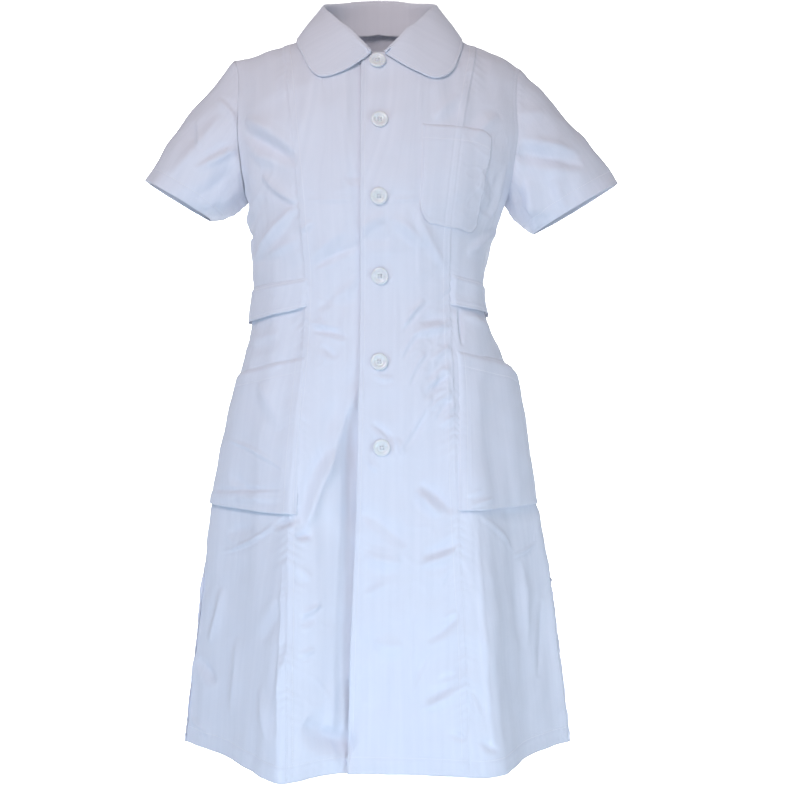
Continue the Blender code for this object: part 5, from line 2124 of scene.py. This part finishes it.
@dataclass
class Studio:
    """Floor, lights and camera."""

    camera_place: tuple[float, float, float] = (0.030, -1.813, -0.491)
    lens: float = 60.0
    floor: float = -1.90
    floor_front: float = 3.0
    wall_at: float = 4.2
    wall_height: float = 3.6
    half_width: float = 3.4
    corner: float = 1.2
    corner_steps: int = 12
    air_colour: tuple[float, float, float] = (0.98, 0.95, 1.0)
    air_strength: float = 0.31

    def build_camera(self) -> None:
        """Puts the camera where the photograph was taken from."""
        data = bpy.data.cameras.new("camera")
        data.lens = self.lens
        data.sensor_width = 36.0
        data.clip_end = 50.0
        camera = add_object("camera", data)
        camera.location = self.camera_place
        camera.rotation_euler = (math.radians(90), 0, 0)
        bpy.context.scene.camera = camera

    def build_stage(self) -> None:
        """Makes the floor that curves up into a wall behind the dress."""
        sweep = bmesh.new()
        start = self.wall_at - self.corner
        outline = [(-self.floor_front, 0.0), (start, 0.0)]
        for step in range(1, self.corner_steps + 1):
            angle = math.pi / 2 * step / self.corner_steps
            outline.append(
                (start + self.corner * math.sin(angle), self.corner * (1 - math.cos(angle)))
            )
        outline.append((self.wall_at, self.wall_height))
        left = [sweep.verts.new((-self.half_width, y, self.floor + up)) for y, up in outline]
        right = [sweep.verts.new((self.half_width, y, self.floor + up)) for y, up in outline]
        for low in range(len(outline) - 1):
            sweep.faces.new((left[low], right[low], right[low + 1], left[low + 1]))
        mesh = mesh_of(sweep, "studio_floor")
        mesh.shade_smooth()
        mesh.materials.append(StageFinish().material())
        add_object("studio_floor", mesh)

    def add_lamp(self, lamp: Lamp) -> None:
        """Adds one soft light."""
        data = bpy.data.lights.new(lamp.name, "AREA")
        data.shape = "RECTANGLE"
        data.size, data.size_y = lamp.size
        data.energy = lamp.power
        data.color = lamp.colour
        data.spread = math.radians(lamp.spread)
        made = add_object(lamp.name, data)
        made.location = lamp.place
        aim = Vector(lamp.towards) - Vector(lamp.place)
        made.rotation_euler = aim.to_track_quat("-Z", "Y").to_euler()
        made.visible_camera = False

    def build_lights(self) -> None:
        """Adds the soft lights and the pale surroundings."""
        for lamp in LAMPS:
            self.add_lamp(lamp)
        world = bpy.data.worlds.new("studio_air")
        world.use_nodes = True
        air = world.node_tree.nodes["Background"]
        air.inputs["Color"].default_value = (*self.air_colour, 1)
        air.inputs["Strength"].default_value = self.air_strength
        bpy.context.scene.world = world
        bpy.context.scene.view_settings.view_transform = "Standard"


CHEST_POCKET = (
    Line(0.00, 15.8, -0.2420, 12.7, -0.1366, 0.0, 0.0),
    Line(0.07, 18.5, -0.2570, 15.0, -0.1370, 0.0, 0.0),
    Line(0.30, 27.7, -0.2675, 22.0, -0.1380, 0.0, 0.0002),
    Line(0.65, 39.5, -0.2710, 32.7, -0.1395, 0.0, 0.0003),
    Line(0.92, 51.0, -0.2715, 42.5, -0.1460, 0.0, 0.0002),
    Line(1.00, 53.6, -0.2630, 45.3, -0.1506, 0.0, 0.0),
)
HIP_POCKET_LEFT = (
    Line(0.00, 26.7, -0.6305, 34.1, -0.4228, 0.0015, 0.0000),
    Line(0.20, 36.3, -0.6312, 47.7, -0.4300, 0.0030, 0.0010),
    Line(0.50, 52.7, -0.6315, 65.0, -0.4360, 0.0030, 0.0030),
    Line(0.80, 74.0, -0.6305, 78.0, -0.4440, 0.0020, 0.0080),
    Line(1.00, 85.5, -0.6300, 86.5, -0.4520, 0.0010, 0.0105),
)
HIP_POCKET_RIGHT = (
    Line(0.00, -85.5, -0.6297, -86.5, -0.4520, 0.0030, 0.0000),
    Line(0.15, -75.0, -0.6305, -76.0, -0.4513, 0.0035, 0.0008),
    Line(0.50, -52.1, -0.6325, -57.0, -0.4465, 0.0045, 0.0015),
    Line(0.80, -36.0, -0.6346, -37.6, -0.4369, 0.0035, 0.0010),
    Line(1.00, -25.1, -0.6350, -25.1, -0.4296, 0.0020, 0.0000),
)
BELT = (
    Line(0.00, 39.5, -0.3679, 38.8, -0.3253, 0.0010, 0.0000),
    Line(0.06, 50.7, -0.3721, 50.7, -0.3291, 0.0020, 0.0002),
    Line(0.20, 90.0, -0.3787, 90.0, -0.3350, 0.0025, 0.0004),
    Line(0.50, 180.0, -0.3790, 180.0, -0.3365, 0.0010, 0.0002),
    Line(0.80, 270.0, -0.3880, 270.0, -0.3400, 0.0030, 0.0010),
    Line(0.93, 307.6, -0.3825, 305.3, -0.3377, 0.0025, 0.0004),
    Line(0.97, 321.6, -0.3771, 320.7, -0.3342, 0.0020, 0.0002),
    Line(1.00, 331.1, -0.3712, 332.9, -0.3301, 0.0010, 0.0000),
)
COLLAR_FALLS = (
    Fall(7.0, 0.0850, -0.0368, 0.0060),
    Fall(12.0, 0.0842, -0.0290, 0.0200),
    Fall(19.5, 0.0822, -0.0180, 0.0420),
    Fall(28.5, 0.0800, -0.0050, 0.0690),
    Fall(40.3, 0.0785, 0.0060, 0.0935),
    Fall(50.6, 0.0780, 0.0170, 0.0953),
    Fall(59.2, 0.0780, 0.0255, 0.0830),
    Fall(78.7, 0.0785, 0.0400, 0.0630),
    Fall(90.0, 0.0790, 0.0460, 0.0585),
    Fall(130.0, 0.0740, 0.0620, 0.0650),
    Fall(180.0, 0.0700, 0.0720, 0.0700),
    Fall(230.0, 0.0715, 0.0620, 0.0665),
    Fall(270.0, 0.0735, 0.0460, 0.0562),
    Fall(302.3, 0.0750, 0.0250, 0.0752),
    Fall(321.3, 0.0770, 0.0070, 0.0916),
    Fall(336.3, 0.0795, -0.0090, 0.0630),
    Fall(344.5, 0.0826, -0.0205, 0.0380),
    Fall(350.5, 0.0843, -0.0292, 0.0200),
    Fall(355.0, 0.0850, -0.0360, 0.0065),
)
BUTTON_PLACES = (
    ButtonPlace("button_1", 0.1, -0.0515, 0.0),
    ButtonPlace("button_2", 0.6, -0.1339, 0.0),
    ButtonPlace("button_3", 0.6, -0.2328, 0.0),
    ButtonPlace("button_4", 1.0, -0.3323, 0.0),
    ButtonPlace("button_5", 0.8, -0.4427, 0.0),
    ButtonPlace("button_6", 1.6, -0.5514, 6.0),
)
RIGHT_CUFF = Cuff(-1, -0.3160, -0.1940, -0.2265, -0.2470, 0.061)
LEFT_CUFF = Cuff(1, 0.3260, -0.1975, 0.2110, -0.2660, 0.047)
RIGHT_TROUGHS = (
    Trough(0.15, 0.055, 0.30, 0.45, -0.0060),
    Trough(0.84, 0.060, 0.35, 0.45, -0.0050),
)
LEFT_TROUGHS = (
    Trough(0.20, 0.045, 0.40, 0.50, -0.0065),
    Trough(0.82, 0.060, 0.35, 0.45, -0.0050),
)


def front_place(form: DressForm) -> Callable:
    """Places on the front, from millimetres across and up."""

    def place(across: np.ndarray, up: np.ndarray) -> np.ndarray:
        """The points of the smooth front."""
        x, height = np.asarray(across) * MM, np.asarray(up) * MM
        turn = np.zeros_like(x)
        for _ in range(4):
            turn = form.turn_of(x, form.rise_at(turn, height))
        return form.points(turn, form.rise_at(turn, height))

    return place


def back_place(form: DressForm) -> Callable:
    """Places on the back, from millimetres across and up."""

    def place(across: np.ndarray, up: np.ndarray) -> np.ndarray:
        """The points of the smooth back."""
        x, height = np.asarray(across) * MM, np.asarray(up) * MM
        turn = np.full_like(x, 180.0)
        for _ in range(4):
            turn = 180 - form.turn_of(x, form.rise_at(turn, height))
        return form.points(turn, form.rise_at(turn, height))

    return place


def build_dress() -> None:
    """Builds every piece of the dress."""
    form = DressForm()
    sewing = Sewing(
        form=form,
        front=Creases(front_place(form), FRONT_CREASES),
        back=Creases(back_place(form), BACK_CREASES),
        cloth=ClothFinish().material(),
        thread=ThreadFinish().material(),
        plastic=ButtonFinish().material(),
    )
    pieces = [
        Panel(
            "front_left",
            sewing,
            form.lap_turn(0),
            form.princess_turn(1),
            Seam.LAP,
            Seam.TOPSTITCHED,
            ["cloth_back"],
        ),
        Panel(
            "front_right",
            sewing,
            form.princess_turn(-1),
            form.lap_turn(form.lap_width),
            Seam.TOPSTITCHED,
            Seam.FREE,
            ["cloth_back"],
            sunk=True,
        ),
        Panel(
            "side_front_left",
            sewing,
            form.princess_turn(1),
            form.side_turn(1),
            Seam.PRINCESS,
            Seam.SIDE,
            ["cloth_back"],
        ),
        Panel(
            "side_front_right",
            sewing,
            form.side_turn(-1),
            form.princess_turn(-1),
            Seam.SIDE,
            Seam.PRINCESS,
            ["cloth_back"],
        ),
        Panel(
            "back",
            sewing,
            form.back_turn(1),
            form.back_turn(-1),
            Seam.SIDE,
            Seam.SIDE,
            ["cloth_collar"],
            at_front=False,
            spacing=0.0042,
            row_spacing=0.0042,
        ),
        Sleeve("sleeve_right", sewing, RIGHT_CUFF, RIGHT_TROUGHS, RIGHT_SLEEVE_CREASES),
        Sleeve("sleeve_left", sewing, LEFT_CUFF, LEFT_TROUGHS, LEFT_SLEEVE_CREASES),
        Collar("collar", sewing, COLLAR_FALLS),
        Patch(
            "chest_pocket",
            sewing,
            CHEST_POCKET,
            columns=70,
            rows=72,
            thickness=0.0015,
            rests_on=["cloth_front_left", "cloth_side_front_left"],
            rolled=(Border.START, Border.END, Border.TOP),
            stitched=(Border.START, Border.END, Border.BOTTOM),
            roll=0.0050,
            seam_off=-0.0008,
            hem=0.022,
        ),
        Patch(
            "hip_pocket_left",
            sewing,
            HIP_POCKET_LEFT,
            columns=80,
            rows=96,
            thickness=0.0015,
            rests_on=["cloth_front_left", "cloth_side_front_left"],
            rolled=(Border.START, Border.TOP),
            stitched=(Border.START,),
            seam_off=-0.0018,
            stitch_in=(0.0050, 0.0150),
            roll=0.0100,
            hem=0.024,
        ),
        Patch(
            "hip_pocket_right",
            sewing,
            HIP_POCKET_RIGHT,
            columns=80,
            rows=96,
            thickness=0.0015,
            rests_on=["cloth_front_right", "cloth_side_front_right"],
            sunk=True,
            rolled=(Border.START, Border.END, Border.TOP),
            stitched=(Border.END,),
            seam_off=-0.0018,
            stitch_in=(0.0065, 0.0200),
            roll=0.0100,
            hem=0.024,
        ),
        Patch(
            "belt",
            sewing,
            BELT,
            columns=330,
            rows=26,
            thickness=0.0020,
            rests_on=["cloth_back", "cloth_side_front_left", "cloth_side_front_right"],
            rolled=(Border.START, Border.END, Border.TOP),
            stitched=(Border.BOTTOM, Border.TOP),
            stitch_in=(0.0050,),
            roll=0.0080,
            seam_off=-0.0006,
        ),
    ]
    for piece in pieces:
        piece.build()
    for place in BUTTON_PLACES:
        Button(place, sewing).build()


def main() -> None:
    """Builds the studio and the dress."""
    logging.basicConfig(level=logging.INFO, format="%(name)s %(message)s")
    studio = Studio()
    studio.build_camera()
    build_dress()
    studio.build_stage()
    studio.build_lights()


if __name__ == "__main__":
    main()
